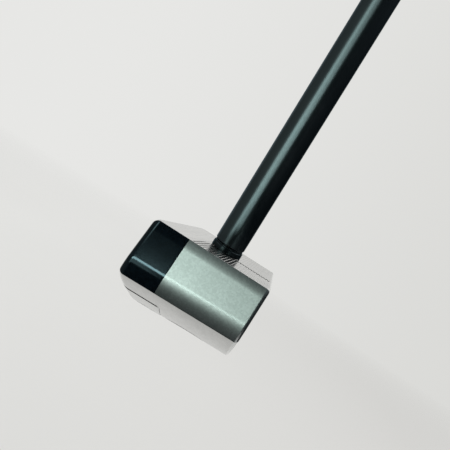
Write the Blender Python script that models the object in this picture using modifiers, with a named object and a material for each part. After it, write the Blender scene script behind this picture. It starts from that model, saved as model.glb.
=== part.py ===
"""Golf putter: a wide blade head milled in two blocks, on a straight steel shaft with a rubber grip.

It stands at address. +X points away from the face, +Y runs from heel to toe and +Z is up.
The origin is on the flat at the middle of the sole. Lengths are in metres.
"""
import bmesh
import bpy
import math
from mathutils import Matrix, Vector

# Clearances
GAP = 0.0003             # between pieces that touch or seat
SEAM_GAP = 0.0002        # bond line between the two blocks of the head
BEYOND = 0.003           # how far a cutter reaches past the surface that it opens

# Head: its outline seen from behind, then its section
HEAD_LENGTH = 0.112
HEAD_DEPTH = 0.0329
HEAD_HEIGHT = 0.026
WALL_HEIGHT = 0.01565    # of each end wall, crown to sole edge
TOP_ROLL = 0.0033        # height over which the end wall rolls in to the crown
TOP_ROLL_ANGLE = math.radians(17)
UNDER_ROLL = 0.0052      # height over which the end wall rolls under to the sole
UNDER_ROLL_ANGLE = math.radians(31.5)
SOLE_FLAT = 0.012        # length of the flat at the middle of the sole
SOLE_RISE = math.radians(1.4)   # the sole rises towards the back
LOFT = math.radians(4.5)
SEAM_TILT = math.radians(1.7)
FACE_BLOCK_DEPTH = 0.0099   # at the crown
CORNER_RADIUS = 0.0017   # upright edges beside the face
LEADING_RADIUS = 0.005   # face to sole, in the middle
TOP_LINE_RADIUS = 0.0008    # face to crown
BACK_RADIUS = 0.0010     # upright edges beside the back
SOLE_BACK_RADIUS = 0.0006
CROWN_BACK_RADIUS = 0.0004
SOLE_BLEND = 0.022       # length over which an end's radius grows into the sole's
CROWN_BLEND = 0.006

# Marks milled in the crown
GROOVE_PITCH = 0.0009
GROOVE_WIDTH = 0.0007
GROOVE_DEPTH = 0.00007
GROOVE_MARGIN = 0.0007   # from the last groove's middle to the back rounding
SIGHT_WIDTH = 0.0022
SIGHT_DEPTH = 0.0003
SIGHT_FROM_HEEL = 0.037
SIGHT_BACK_MARGIN = 0.0005

# Shaft, its post and collar
LEAN = math.radians(10.2)   # from upright, towards the heel
SHAFT_BEHIND_FACE = 0.0164
SHAFT_FROM_HEEL = 0.0438
CLUB_LENGTH = 0.864      # from the ground to the butt, along the shaft
TIP_DIAMETER = 0.0094
TIP_WALL = 0.0009
TIP_PARALLEL = 0.130     # length of the parallel tip
BUTT_DIAMETER = 0.0147
BUTT_WALL = 0.0008
TAPER_END = 0.550        # height at which the shaft reaches its butt size
POST_DEPTH = 0.015       # post in the head
POST_REACH = 0.028       # post above the crown
POST_CHAMFER = 0.0006
COLLAR_TOP = 0.0026
COLLAR_STEP = 0.0001     # how far the collar stands out from the shaft
COLLAR_NECK = 0.0005     # length of the slimmer neck at its top
COLLAR_NECK_STEP = 0.0003   # how far the neck lies inside the collar
EDGE_BREAK = 0.00025     # small chamfers at the collar and at the foot of the shaft
PLUG_LENGTH = 0.012

SIDES = {"heel": -1, "toe": 1}

# Sole weights; how far each piece lies from its end of the head is given here and below
SINK = 0.0003            # how far weights and plate screws lie below the sole
WEIGHT_X = 0.0025
WEIGHT_FROM_END = 0.032
WEIGHT_RADIUS = 0.0055
WEIGHT_HEAD = 0.0026
WEIGHT_SHANK_RADIUS = 0.0043
WEIGHT_LENGTH = 0.0085
WEIGHT_CHAMFER = 0.0004
SEAL_THICKNESS = 0.0009
HEX_WEIGHT = 0.004       # across flats
HEX_WEIGHT_DEPTH = 0.0022

# Plate let into the front of the sole, out to the leading edge
PLATE_BACK_X = -0.0052
PLATE_END_MARGIN = 0.0135   # from the end wall to the plate
PLATE_THICKNESS = 0.0026
PLATE_CORNER = 0.0010
PLATE_SCREW_X = -0.0101
PLATE_SCREW_FROM_END = 0.0315
PLATE_SCREW_RADIUS = 0.0015
PLATE_SCREW_HEAD_RADIUS = 0.0028
PLATE_SCREW_LENGTH = 0.009
PLATE_SCREW_CHAMFER = 0.00045
PLATE_SCREW_HEX = 0.0018
PLATE_SCREW_HEX_DEPTH = 0.0011

# Screws and dowels that join the blocks
FASTENER_Z = 0.016
SCREW_FROM_END = 0.022
SCREW_RADIUS = 0.002
SCREW_HEAD_RADIUS = 0.0035
SCREW_HEAD_HEIGHT = 0.004
SCREW_HEAD_DEPTH = 0.0012   # top of the head below the back face
SCREW_ENGAGEMENT = 0.007    # thread in the face block
SCREW_CHAMFER = 0.0005
SCREW_HEX = 0.003
SCREW_HEX_DEPTH = 0.002
DOWEL_FROM_END = 0.011
DOWEL_RADIUS = 0.0015
DOWEL_LENGTH = 0.010
DOWEL_CHAMFER = 0.0003

# Grip
GRIP_LENGTH = 0.270
GRIP_TOP_WIDTH = 0.0290
GRIP_TOP_DEPTH = 0.0270
GRIP_LOW_WIDTH = 0.0215
GRIP_LOW_DEPTH = 0.0215
GRIP_FLAT_TOP = 0.0105   # axis to thumb flat
GRIP_FLAT_LOW = 0.0098
GRIP_FLAT_PULL = 0.92    # how far what lies past the flat is pulled back to it
GRIP_LIP = 0.0012        # rubber left at the rolled-in lower end
GRIP_RIM = 0.0010        # rounding at the butt
GRIP_MOUTH_LENGTH = 0.012   # rolled-in lower end
TAPE_THICKNESS = 0.0004
CAP_RADIUS = 0.0085
CAP_THICKNESS = 0.0022
CAP_CROWN = 0.0006       # how far its middle stands above the rim
CAP_EDGE = 0.0025        # width of its sloping edge
CAP_PLUG_LENGTH = 0.012
VENT_RADIUS = 0.0012

SOCKET_TURN = math.radians(8)   # how far every hexagon socket is turned from square
ROUND_STEPS = 40
FILLET_STEPS = 5

# Points along half of the head's outline
CROWN_SHARES = (1, 0.6, 0.3)    # of the crown's blend, towards the end wall
TOP_ROLL_STEPS = 4
UNDER_ROLL_STEPS = 8
SOLE_STEPS = 16
CORNER_REACH = 3         # points beside a sharp corner that show which way its side runs
CORNER_SPACE = 0.0001    # least room left beside a sharp corner

# Places worked out from the sizes
FACE_X = -HEAD_DEPTH / 2
BACK_X = HEAD_DEPTH / 2
HALF_LENGTH = HEAD_LENGTH / 2
SEAM_X = FACE_X + FACE_BLOCK_DEPTH
SOLE_EDGE_Z = HEAD_HEIGHT - WALL_HEIGHT
UNDER_RADIUS = UNDER_ROLL / math.sin(UNDER_ROLL_ANGLE)
TOP_RADIUS = TOP_ROLL / math.sin(TOP_ROLL_ANGLE)
SOLE_EDGE_Y = HALF_LENGTH - UNDER_RADIUS * (1 - math.cos(UNDER_ROLL_ANGLE))
SOLE_SPREAD = (SOLE_EDGE_Y ** 2 - (SOLE_FLAT / 2) ** 2) / SOLE_EDGE_Z
SOLE_CENTRE_Z = (SOLE_SPREAD + SOLE_EDGE_Z) / 2
SOLE_RADIUS = math.hypot(SOLE_CENTRE_Z, SOLE_FLAT / 2)
SHAFT_X = FACE_X + SHAFT_BEHIND_FACE
SHAFT_Y = SHAFT_FROM_HEEL - HALF_LENGTH
BUTT_S = CLUB_LENGTH - HEAD_HEIGHT / math.cos(LEAN)
GRIP_START_S = BUTT_S - GRIP_LENGTH
SHAFT_TOP_S = BUTT_S - CAP_THICKNESS - 2 * GAP
TIP_RADIUS = TIP_DIAMETER / 2
BUTT_RADIUS = BUTT_DIAMETER / 2
BORE_RADIUS = TIP_RADIUS - TIP_WALL
POST_RADIUS = BORE_RADIUS - GAP
BUTT_BORE = BUTT_RADIUS - BUTT_WALL
TAPE_RADIUS = BUTT_RADIUS + GAP + TAPE_THICKNESS
GRIP_BORE = TAPE_RADIUS + GAP
SHAFT_TIP_S = COLLAR_TOP + GAP


for old in list(bpy.data.objects):
    bpy.data.objects.remove(old, do_unlink=True)


def new_collection(name):
    found = bpy.data.collections.get(name)
    if found is None:
        found = bpy.data.collections.new(name)
        bpy.context.scene.collection.children.link(found)
    return found


PARTS = new_collection("golf_putter")
CUTTERS = new_collection("cutters")


def finish(name, colour, metallic, roughness):
    """A material with one Principled BSDF."""
    made = bpy.data.materials.new(name)
    made.use_nodes = True
    shader = made.node_tree.nodes["Principled BSDF"]
    shader.inputs["Base Color"].default_value = (*colour, 1)
    shader.inputs["Metallic"].default_value = metallic
    shader.inputs["Roughness"].default_value = roughness
    return made


def place(name, mesh, material=None, matrix=Matrix.Identity(4), parent=None):
    """Link a mesh as a part, or as a cutter where it has no material."""
    made = bpy.data.objects.new(name, mesh)
    if material is None:
        CUTTERS.objects.link(made)
        made.hide_render = True
        made.display_type = "WIRE"
    else:
        PARTS.objects.link(made)
        mesh.materials.clear()
        mesh.materials.append(material)
        mesh.shade_smooth()
        mesh.set_sharp_from_angle(angle=math.radians(28))
    made.parent = parent
    made.matrix_local = matrix
    return made


def evaluated_mesh(thing):
    """The mesh of an object with its modifiers, in its own space; the object goes."""
    bpy.context.view_layer.update()
    graph = bpy.context.evaluated_depsgraph_get()
    mesh = bpy.data.meshes.new_from_object(thing.evaluated_get(graph))
    bpy.data.objects.remove(thing, do_unlink=True)
    work = bmesh.new()
    work.from_mesh(mesh)
    bmesh.ops.remove_doubles(work, verts=work.verts, dist=1e-7)
    bmesh.ops.recalc_face_normals(work, faces=work.faces)
    work.to_mesh(mesh)
    work.free()
    return mesh


def one_face_caps(mesh):
    """Join the triangles that fill each flat end into one face."""
    work = bmesh.new()
    work.from_mesh(mesh)
    caps = [face for face in work.faces if abs(face.normal.z) > 0.999]
    inner = [edge for edge in work.edges if all(face in caps for face in edge.link_faces)]
    bmesh.ops.dissolve_edges(work, edges=inner)
    work.to_mesh(mesh)
    work.free()
    return mesh


def outline_mesh(name, points, thickness):
    """A closed outline in local XY, thickened evenly to both sides along Z."""
    curve = bpy.data.curves.new(name, "CURVE")
    curve.dimensions = "2D"
    curve.fill_mode = "BOTH"
    curve.extrude = thickness / 2
    line = curve.splines.new("POLY")
    line.points.add(len(points) - 1)
    for spot, (across, up) in zip(line.points, points):
        spot.co = (across, up, 0, 1)
    line.use_cyclic_u = True
    guide = bpy.data.objects.new(name, curve)
    CUTTERS.objects.link(guide)
    return one_face_caps(evaluated_mesh(guide))


def side_prism(name, points, x_low, x_high):
    """A (y, z) outline carried along X from x_low to x_high."""
    mesh = outline_mesh(name, points, x_high - x_low)
    turn = Matrix(((0, 0, 1, (x_low + x_high) / 2), (1, 0, 0, 0), (0, 1, 0, 0), (0, 0, 0, 1)))
    mesh.transform(turn)
    return mesh


def turned_mesh(name, profile, closed=False, steps=ROUND_STEPS):
    """A profile of (radius, z) points, turned about Z; its outer side runs down."""
    mesh = bpy.data.meshes.new(name)
    corners = [(radius, 0, z) for radius, z in profile]
    edges = [(k, k + 1) for k in range(len(corners) - 1)]
    if closed:
        edges.append((len(corners) - 1, 0))
    mesh.from_pydata(corners, edges, [])
    guide = bpy.data.objects.new(name, mesh)
    CUTTERS.objects.link(guide)
    screw = guide.modifiers.new("turn", "SCREW")
    screw.steps = steps
    screw.render_steps = steps
    screw.use_merge_vertices = True
    screw.merge_threshold = 1e-6
    return evaluated_mesh(guide)


def solid_profile(*steps):
    """Profile of a solid of revolution: (radius, z) corners from top to bottom, closed on the axis."""
    return [(0, steps[0][1]), *steps, (0, steps[-1][1])]


def cut(target, mesh, matrix=Matrix.Identity(4), operation="DIFFERENCE", parent=None):
    cutter = place("cut_" + target.name, mesh, None, matrix, parent)
    boolean = target.modifiers.new("cut", "BOOLEAN")
    boolean.operation = operation
    boolean.solver = "EXACT"
    boolean.object = cutter


def sliced(name, mesh, planes):
    """The part of a closed mesh behind every plane (point, outward normal)."""
    work = bmesh.new()
    work.from_mesh(mesh)
    for point, normal in planes:
        everything = list(work.verts) + list(work.edges) + list(work.faces)
        bmesh.ops.bisect_plane(work, geom=everything, plane_co=point, plane_no=normal, clear_outer=True)
        rim = [edge for edge in work.edges if edge.is_boundary]
        bmesh.ops.contextual_create(work, geom=rim)
    bmesh.ops.recalc_face_normals(work, faces=work.faces)
    made = bpy.data.meshes.new(name)
    work.to_mesh(made)
    work.free()
    return made


def hexagon(name, across_flats, low, high):
    """A six-sided prism along Z between two heights."""
    work = bmesh.new()
    radius = across_flats / math.sqrt(3)
    bmesh.ops.create_cone(work, cap_ends=True, segments=6, radius1=radius, radius2=radius, depth=high - low)
    bmesh.ops.transform(work, verts=work.verts, matrix=Matrix.Rotation(SOCKET_TURN, 4, "Z"))
    bmesh.ops.translate(work, verts=work.verts, vec=(0, 0, (low + high) / 2))
    mesh = bpy.data.meshes.new(name)
    work.to_mesh(mesh)
    work.free()
    return mesh


BLACK_BLOCK = finish("black_anodised", (0.012, 0.016, 0.02), 0.5, 0.25)
SILVER = finish("blasted_silver", (0.52, 0.55, 0.53), 1, 0.38)
PLATE_STEEL = finish("sole_steel", (0.5, 0.51, 0.5), 1, 0.3)
WEIGHT_STEEL = finish("weight_steel", (0.42, 0.42, 0.42), 1, 0.3)
SCREW_STEEL = finish("black_screws", (0.03, 0.03, 0.032), 0.8, 0.4)
DOWEL_STEEL = finish("bright_steel", (0.6, 0.6, 0.6), 1, 0.25)
SHAFT_BLACK = finish("black_shaft", (0.012, 0.018, 0.022), 0.3, 0.4)
COLLAR_BLACK = finish("black_collar", (0.012, 0.014, 0.017), 0.1, 0.35)
RUBBER = finish("black_rubber", (0.014, 0.014, 0.015), 0, 0.8)
SEAL_RUBBER = finish("seal_rubber", (0.02, 0.02, 0.02), 0, 0.6)
TAPE = finish("grip_tape", (0.75, 0.72, 0.62), 0, 0.9)
CAP_PLASTIC = finish("cap_plastic", (0.015, 0.015, 0.016), 0, 0.5)
CORK = finish("plug_cork", (0.35, 0.2, 0.1), 0, 0.9)


# The head's blank: one outline carried from face to back, drawn in where their edges are rounded

def sole_z(y, inset=0.0):
    """Height of the sole arc at y on the centre line, or of the arc that lies inset above it."""
    return SOLE_CENTRE_Z - math.sqrt((SOLE_RADIUS - inset) ** 2 - y ** 2)


def grown(at_end, in_middle, share):
    """A size that grows smoothly from its value at the end wall to its value further in."""
    share = min(share, 1)
    return at_end + (in_middle - at_end) * share * share * (3 - 2 * share)


def toe_outline():
    """Half of the outline, from the crown round the toe to the sole's flat.

    Each entry is y, z, the rounding beside the face, the one beside the back, and whether it is low.
    """
    points = []
    corner = HALF_LENGTH - TOP_RADIUS * (1 - math.cos(TOP_ROLL_ANGLE))
    for share in CROWN_SHARES:
        front = grown(CORNER_RADIUS, TOP_LINE_RADIUS, share)
        back = grown(BACK_RADIUS, CROWN_BACK_RADIUS, share)
        points.append((corner - CROWN_BLEND * share, HEAD_HEIGHT, front, back, 0))
    for k in range(TOP_ROLL_STEPS + 1):
        angle = TOP_ROLL_ANGLE * (1 - k / TOP_ROLL_STEPS)
        y = HALF_LENGTH - TOP_RADIUS * (1 - math.cos(angle))
        z = HEAD_HEIGHT - TOP_ROLL + TOP_RADIUS * math.sin(angle)
        points.append((y, z, CORNER_RADIUS, BACK_RADIUS, 0))
    for k in range(UNDER_ROLL_STEPS + 1):
        angle = UNDER_ROLL_ANGLE * k / UNDER_ROLL_STEPS
        y = HALF_LENGTH - UNDER_RADIUS * (1 - math.cos(angle))
        z = SOLE_EDGE_Z + UNDER_ROLL - UNDER_RADIUS * math.sin(angle)
        points.append((y, z, CORNER_RADIUS, BACK_RADIUS, 1))
    outer = math.asin(SOLE_EDGE_Y / SOLE_RADIUS)
    inner = math.asin(SOLE_FLAT / 2 / SOLE_RADIUS)
    for k in range(1, SOLE_STEPS + 1):
        y = SOLE_RADIUS * math.sin(outer + (inner - outer) * k / SOLE_STEPS)
        share = (SOLE_EDGE_Y - y) / SOLE_BLEND
        front = grown(CORNER_RADIUS, LEADING_RADIUS, share)
        back = grown(BACK_RADIUS, SOLE_BACK_RADIUS, share)
        points.append((y, sole_z(y), front, back, 1))
    return points


def inward(points):
    """For each corner of a clockwise closed outline, how it moves when both its sides move in by one."""
    moves = []
    for k, (y, z) in enumerate(points):
        before = Vector((y, z)) - Vector(points[k - 1])
        after = Vector(points[(k + 1) % len(points)]) - Vector((y, z))
        before.normalize()
        after.normalize()
        middle = (before + after).normalized()
        moves.append(Vector((middle.y, -middle.x)) / middle.dot(before))
    return moves


def head_ring(outline, moves, turn, at_back):
    """One section through the roundings; turn 0 lies on the face or back, a right angle where they end."""
    ring = []
    for (y, z, front, back, low), move in zip(outline, moves):
        radius = back if at_back else front
        y += move.x * radius * (1 - math.sin(turn))
        z += move.y * radius * (1 - math.sin(turn))
        ahead = radius * (1 - math.cos(turn))
        if at_back:
            x = BACK_X - ahead
        else:
            x = FACE_X + ahead + (z - HEAD_HEIGHT) * math.tan(LOFT)
            x /= 1 - low * math.tan(LOFT) * math.tan(SOLE_RISE)
        ring.append(Vector((x, y, z + low * x * math.tan(SOLE_RISE))))
    return ring


CROWN_CORNER = len(CROWN_SHARES)
SOLE_CORNER = CROWN_CORNER + TOP_ROLL_STEPS + 1 + UNDER_ROLL_STEPS


def straighten(ring, at):
    """Spread out again the points beside a sharp corner that the corner has overtaken on its way in."""
    corner = ring[at]
    for step in (-1, 1):
        away = (ring[at + CORNER_REACH * step] - corner).normalized()
        beyond = at + step
        while (ring[beyond] - corner).dot(away) < CORNER_SPACE:
            beyond += step
        count = abs(beyond - at)
        for k in range(1, count):
            ring[at + k * step] = corner.lerp(ring[beyond], k / count)


def head_blank():
    half = toe_outline()
    outline = half + [(-entry[0], *entry[1:]) for entry in reversed(half)]
    moves = inward([entry[:2] for entry in outline])
    turns = [math.pi / 2 * k / FILLET_STEPS for k in range(FILLET_STEPS + 1)]
    rings = [head_ring(outline, moves, turn, False) for turn in turns]
    rings += [head_ring(outline, moves, turn, True) for turn in reversed(turns)]
    for ring in rings:
        for at in (CROWN_CORNER, SOLE_CORNER):
            straighten(ring, at)
            straighten(ring, len(ring) - 1 - at)
    work = bmesh.new()
    loops = [[work.verts.new(point) for point in ring] for ring in rings]
    for ahead, behind in zip(loops, loops[1:]):
        for k in range(len(ahead)):
            work.faces.new((ahead[k - 1], ahead[k], behind[k], behind[k - 1]))
    work.faces.new(loops[0])
    work.faces.new(loops[-1])
    bmesh.ops.recalc_face_normals(work, faces=work.faces)
    mesh = bpy.data.meshes.new("head_blank")
    work.to_mesh(mesh)
    work.free()
    return mesh


HEAD = head_blank()


def seam_planes(side):
    """Plane of the joint between the blocks, set back half a bond line on each side."""
    normal = Vector((math.cos(SEAM_TILT), 0, -math.sin(SEAM_TILT)))
    middle = Vector((SEAM_X, 0, HEAD_HEIGHT))
    if side == "front":
        return [(middle - normal * SEAM_GAP / 2, normal)]
    return [(middle + normal * SEAM_GAP / 2, -normal)]


face_block = place("face_block", sliced("face_block", HEAD, seam_planes("front")), BLACK_BLOCK)
rear_body = place("rear_body", sliced("rear_body", HEAD, seam_planes("back")), SILVER)


# Plate in the sole: a band of the sole's own curve that runs out through the leading edge

def plate_band(grow):
    half = HALF_LENGTH - PLATE_END_MARGIN + grow
    ys = [half * (2 * k / 16 - 1) for k in range(17)]
    below = [(y, sole_z(y, -BEYOND)) for y in ys]
    above = [(y, sole_z(y, PLATE_THICKNESS + grow)) for y in reversed(ys)]
    band = side_prism("plate_band", below + above, -HEAD_DEPTH, PLATE_BACK_X + grow)
    for corner in band.vertices:
        corner.co.z += corner.co.x * math.tan(SOLE_RISE)
    work = bmesh.new()
    work.from_mesh(band)
    upright = []
    for edge in work.edges:
        low, high = (corner.co for corner in edge.verts)
        if min(abs(low.y), abs(high.y)) > half - 1e-6 and min(low.x, high.x) > PLATE_BACK_X - 1e-6:
            upright.append(edge)
    bmesh.ops.bevel(work, geom=upright, offset=PLATE_CORNER + grow, segments=6, profile=0.5, affect="EDGES")
    work.to_mesh(band)
    work.free()
    return band


sole_plate = place("sole_plate", HEAD.copy(), PLATE_STEEL)
cut(sole_plate, plate_band(0), operation="INTERSECT")
cut(face_block, plate_band(GAP))
cut(rear_body, plate_band(GAP))


def on_sole(x, y):
    """Frame on the sole at x, y, with +Z square into the head."""
    slope = math.asin(y / SOLE_RADIUS)
    spot = Vector((x, y, sole_z(y) + x * math.tan(SOLE_RISE)))
    return Matrix.Translation(spot) @ Matrix.Rotation(-SOLE_RISE, 4, "Y") @ Matrix.Rotation(slope, 4, "X")


def plate_screw():
    """A countersunk screw, point up into the head."""
    neck = SINK + PLATE_SCREW_HEAD_RADIUS - PLATE_SCREW_RADIUS
    return turned_mesh("plate_screw", solid_profile(
        (PLATE_SCREW_RADIUS - PLATE_SCREW_CHAMFER, PLATE_SCREW_LENGTH),
        (PLATE_SCREW_RADIUS, PLATE_SCREW_LENGTH - PLATE_SCREW_CHAMFER),
        (PLATE_SCREW_RADIUS, neck), (PLATE_SCREW_HEAD_RADIUS, SINK)), steps=24)


def plate_screw_hole():
    neck = SINK + PLATE_SCREW_HEAD_RADIUS - PLATE_SCREW_RADIUS
    return turned_mesh("plate_screw_hole", solid_profile(
        (PLATE_SCREW_RADIUS + GAP, PLATE_SCREW_LENGTH + GAP), (PLATE_SCREW_RADIUS + GAP, neck),
        (PLATE_SCREW_HEAD_RADIUS + GAP, SINK), (PLATE_SCREW_HEAD_RADIUS + GAP, -BEYOND)), steps=24)


for end, side in SIDES.items():
    spot = on_sole(PLATE_SCREW_X, side * (HALF_LENGTH - PLATE_SCREW_FROM_END))
    screw = place(end + "_plate_screw", plate_screw(), SCREW_STEEL, spot)
    cut(screw, hexagon("plate_screw_socket", PLATE_SCREW_HEX, -BEYOND, SINK + PLATE_SCREW_HEX_DEPTH), spot)
    cut(sole_plate, plate_screw_hole(), spot)
    cut(face_block, plate_screw_hole(), spot)


# Weights: each screws into a port in the sole over a rubber ring

WEIGHT_UNDER = SINK + WEIGHT_HEAD
WEIGHT_SHELF = WEIGHT_UNDER + SEAL_THICKNESS + 2 * GAP


def weight_shape():
    return turned_mesh("weight", solid_profile(
        (WEIGHT_SHANK_RADIUS - WEIGHT_CHAMFER, WEIGHT_LENGTH),
        (WEIGHT_SHANK_RADIUS, WEIGHT_LENGTH - WEIGHT_CHAMFER),
        (WEIGHT_SHANK_RADIUS, WEIGHT_UNDER), (WEIGHT_RADIUS, WEIGHT_UNDER),
        (WEIGHT_RADIUS, SINK + WEIGHT_CHAMFER), (WEIGHT_RADIUS - WEIGHT_CHAMFER, SINK)))


def weight_port():
    return turned_mesh("weight_port", solid_profile(
        (WEIGHT_SHANK_RADIUS + GAP, WEIGHT_LENGTH + GAP), (WEIGHT_SHANK_RADIUS + GAP, WEIGHT_SHELF),
        (WEIGHT_RADIUS + GAP, WEIGHT_SHELF), (WEIGHT_RADIUS + GAP, -BEYOND)))


def seal_shape():
    """A flattened ring around the weight's shank, under its head."""
    tube = (WEIGHT_RADIUS - WEIGHT_SHANK_RADIUS - GAP) / 2
    centre = WEIGHT_RADIUS - tube
    middle = WEIGHT_UNDER + GAP + SEAL_THICKNESS / 2
    turn = [2 * math.pi * k / 10 for k in range(10)]
    ring = [(centre + tube * math.cos(a), middle - SEAL_THICKNESS / 2 * math.sin(a)) for a in turn]
    return turned_mesh("weight_seal", ring, closed=True, steps=28)


for end, side in SIDES.items():
    spot = on_sole(WEIGHT_X, side * (HALF_LENGTH - WEIGHT_FROM_END))
    weight = place(end + "_weight", weight_shape(), WEIGHT_STEEL, spot)
    cut(weight, hexagon("weight_socket", HEX_WEIGHT, -BEYOND, SINK + HEX_WEIGHT_DEPTH), spot)
    cut(rear_body, weight_port(), spot)
    place(end + "_weight_seal", seal_shape(), SEAL_RUBBER, spot)


# Screws and dowels through the joint between the blocks

def along_x(y):
    """Frame at the back face with +Z pointing out of the back."""
    return Matrix.Translation((BACK_X, y, FASTENER_Z)) @ Matrix.Rotation(math.pi / 2, 4, "Y")


SEAM_AT_FASTENER = SEAM_X - (HEAD_HEIGHT - FASTENER_Z) * math.tan(SEAM_TILT) - BACK_X
SCREW_TIP = SEAM_AT_FASTENER - SCREW_ENGAGEMENT
SCREW_UNDER = -SCREW_HEAD_DEPTH - SCREW_HEAD_HEIGHT


def block_screw():
    """A socket-head cap screw, its head to the back."""
    return turned_mesh("block_screw", solid_profile(
        (SCREW_HEAD_RADIUS - SCREW_CHAMFER, -SCREW_HEAD_DEPTH),
        (SCREW_HEAD_RADIUS, -SCREW_HEAD_DEPTH - SCREW_CHAMFER),
        (SCREW_HEAD_RADIUS, SCREW_UNDER), (SCREW_RADIUS, SCREW_UNDER),
        (SCREW_RADIUS, SCREW_TIP + SCREW_CHAMFER), (SCREW_RADIUS - SCREW_CHAMFER, SCREW_TIP)), steps=32)


def block_screw_hole():
    return turned_mesh("block_screw_hole", solid_profile(
        (SCREW_HEAD_RADIUS + GAP, BEYOND), (SCREW_HEAD_RADIUS + GAP, SCREW_UNDER - GAP),
        (SCREW_RADIUS + GAP, SCREW_UNDER - GAP), (SCREW_RADIUS + GAP, SCREW_TIP - GAP)), steps=32)


def block_dowel(grow):
    """A ground pin, half in each block; grown by the clearance it is the pin's hole."""
    radius = DOWEL_RADIUS + grow
    top = SEAM_AT_FASTENER + DOWEL_LENGTH / 2 + grow
    low = top - DOWEL_LENGTH - 2 * grow
    return turned_mesh("block_dowel", solid_profile(
        (radius - DOWEL_CHAMFER, top), (radius, top - DOWEL_CHAMFER),
        (radius, low + DOWEL_CHAMFER), (radius - DOWEL_CHAMFER, low)), steps=24)


for end, side in SIDES.items():
    spot = along_x(side * (HALF_LENGTH - SCREW_FROM_END))
    screw = place(end + "_block_screw", block_screw(), SCREW_STEEL, spot)
    cut(screw, hexagon("block_screw_socket", SCREW_HEX, -SCREW_HEAD_DEPTH - SCREW_HEX_DEPTH, BEYOND), spot)
    cut(rear_body, block_screw_hole(), spot)
    cut(face_block, block_screw_hole(), spot)
    spot = along_x(side * (HALF_LENGTH - DOWEL_FROM_END))
    place(end + "_block_dowel", block_dowel(0), DOWEL_STEEL, spot)
    cut(rear_body, block_dowel(GAP), spot)
    cut(face_block, block_dowel(GAP), spot)


# Crown: fine grooves along the silver body and a sight line behind the shaft

def crown_grooves():
    """Long lens-shaped cutters side by side, one for each pass of the milling cutter."""
    radius = (GROOVE_WIDTH ** 2 / 4 + GROOVE_DEPTH ** 2) / (2 * GROOVE_DEPTH)
    reach = 1.2 * math.asin(GROOVE_WIDTH / 2 / radius)
    angles = [reach * (k / 3 - 1) for k in range(7)]
    arc = [(radius * math.sin(a), HEAD_HEIGHT - GROOVE_DEPTH + radius * (1 - math.cos(a))) for a in angles]
    groove = outline_mesh("crown_groove", arc, HEAD_LENGTH + 2 * BEYOND)
    groove.transform(Matrix.Rotation(math.pi / 2, 4, "X"))
    grooves = bmesh.new()
    x = SEAM_X + GROOVE_PITCH
    while x < BACK_X - CROWN_BACK_RADIUS - GROOVE_MARGIN:
        grooves.from_mesh(groove)
        bmesh.ops.translate(grooves, verts=grooves.verts[-len(groove.vertices):], vec=(x, 0, 0))
        x += GROOVE_PITCH
    mesh = bpy.data.meshes.new("crown_grooves")
    grooves.to_mesh(mesh)
    grooves.free()
    return mesh


cut(rear_body, crown_grooves())

sight_y = SIGHT_FROM_HEEL - HALF_LENGTH
sight_start = SHAFT_X + TIP_RADIUS
sight_end = BACK_X - CROWN_BACK_RADIUS - SIGHT_BACK_MARGIN
slot = [
    (sight_start, sight_y - SIGHT_WIDTH / 2), (sight_end, sight_y - SIGHT_WIDTH / 2),
    (sight_end, sight_y + SIGHT_WIDTH / 2), (sight_start, sight_y + SIGHT_WIDTH / 2),
]
cut(rear_body, outline_mesh("sight_slot", slot, 2 * SIGHT_DEPTH), Matrix.Translation((0, 0, HEAD_HEIGHT)))


# Shaft group: everything here hangs on one empty whose Z is the shaft's axis, from the crown up

shaft_axis = bpy.data.objects.new("shaft_axis", None)
PARTS.objects.link(shaft_axis)
shaft_axis.location = (SHAFT_X, SHAFT_Y, HEAD_HEIGHT)
shaft_axis.rotation_euler = (LEAN, 0, 0)


def on_shaft(name, mesh, material):
    return place(name, mesh, material, parent=shaft_axis)


on_shaft("shaft_post", turned_mesh("shaft_post", solid_profile(
    (POST_RADIUS - POST_CHAMFER, POST_REACH), (POST_RADIUS, POST_REACH - POST_CHAMFER),
    (POST_RADIUS, -POST_DEPTH + POST_CHAMFER), (POST_RADIUS - POST_CHAMFER, -POST_DEPTH))), DOWEL_STEEL)
cut(rear_body, turned_mesh("post_bore", solid_profile(
    (BORE_RADIUS, BEYOND), (BORE_RADIUS, -POST_DEPTH - GAP))), parent=shaft_axis)

collar_low = -BEYOND / 2
collar_radius = TIP_RADIUS + COLLAR_STEP
collar_shoulder = COLLAR_TOP - COLLAR_NECK
collar = on_shaft("shaft_collar", turned_mesh("shaft_collar", [
    (BORE_RADIUS, COLLAR_TOP), (collar_radius - COLLAR_NECK_STEP, COLLAR_TOP),
    (collar_radius - COLLAR_NECK_STEP, collar_shoulder), (collar_radius - EDGE_BREAK, collar_shoulder),
    (collar_radius, collar_shoulder - EDGE_BREAK), (collar_radius, collar_low), (BORE_RADIUS, collar_low)],
    closed=True), COLLAR_BLACK)
reach = TIP_DIAMETER
crown_block = [(-reach, -reach), (reach, -reach), (reach, reach), (-reach, reach)]
cut(collar, outline_mesh("crown_block", crown_block, 2 * BEYOND),
    Matrix.Translation((SHAFT_X, SHAFT_Y, HEAD_HEIGHT + GAP - BEYOND)))


def shaft_radius(s):
    """Outer radius at a height above the crown, along the axis."""
    share = (s - TIP_PARALLEL) / (TAPER_END - TIP_PARALLEL)
    return TIP_RADIUS + (BUTT_RADIUS - TIP_RADIUS) * min(max(share, 0), 1)


def shaft_wall(s):
    share = (s - TIP_PARALLEL) / (TAPER_END - TIP_PARALLEL)
    return TIP_WALL + (BUTT_WALL - TIP_WALL) * min(max(share, 0), 1)


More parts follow.
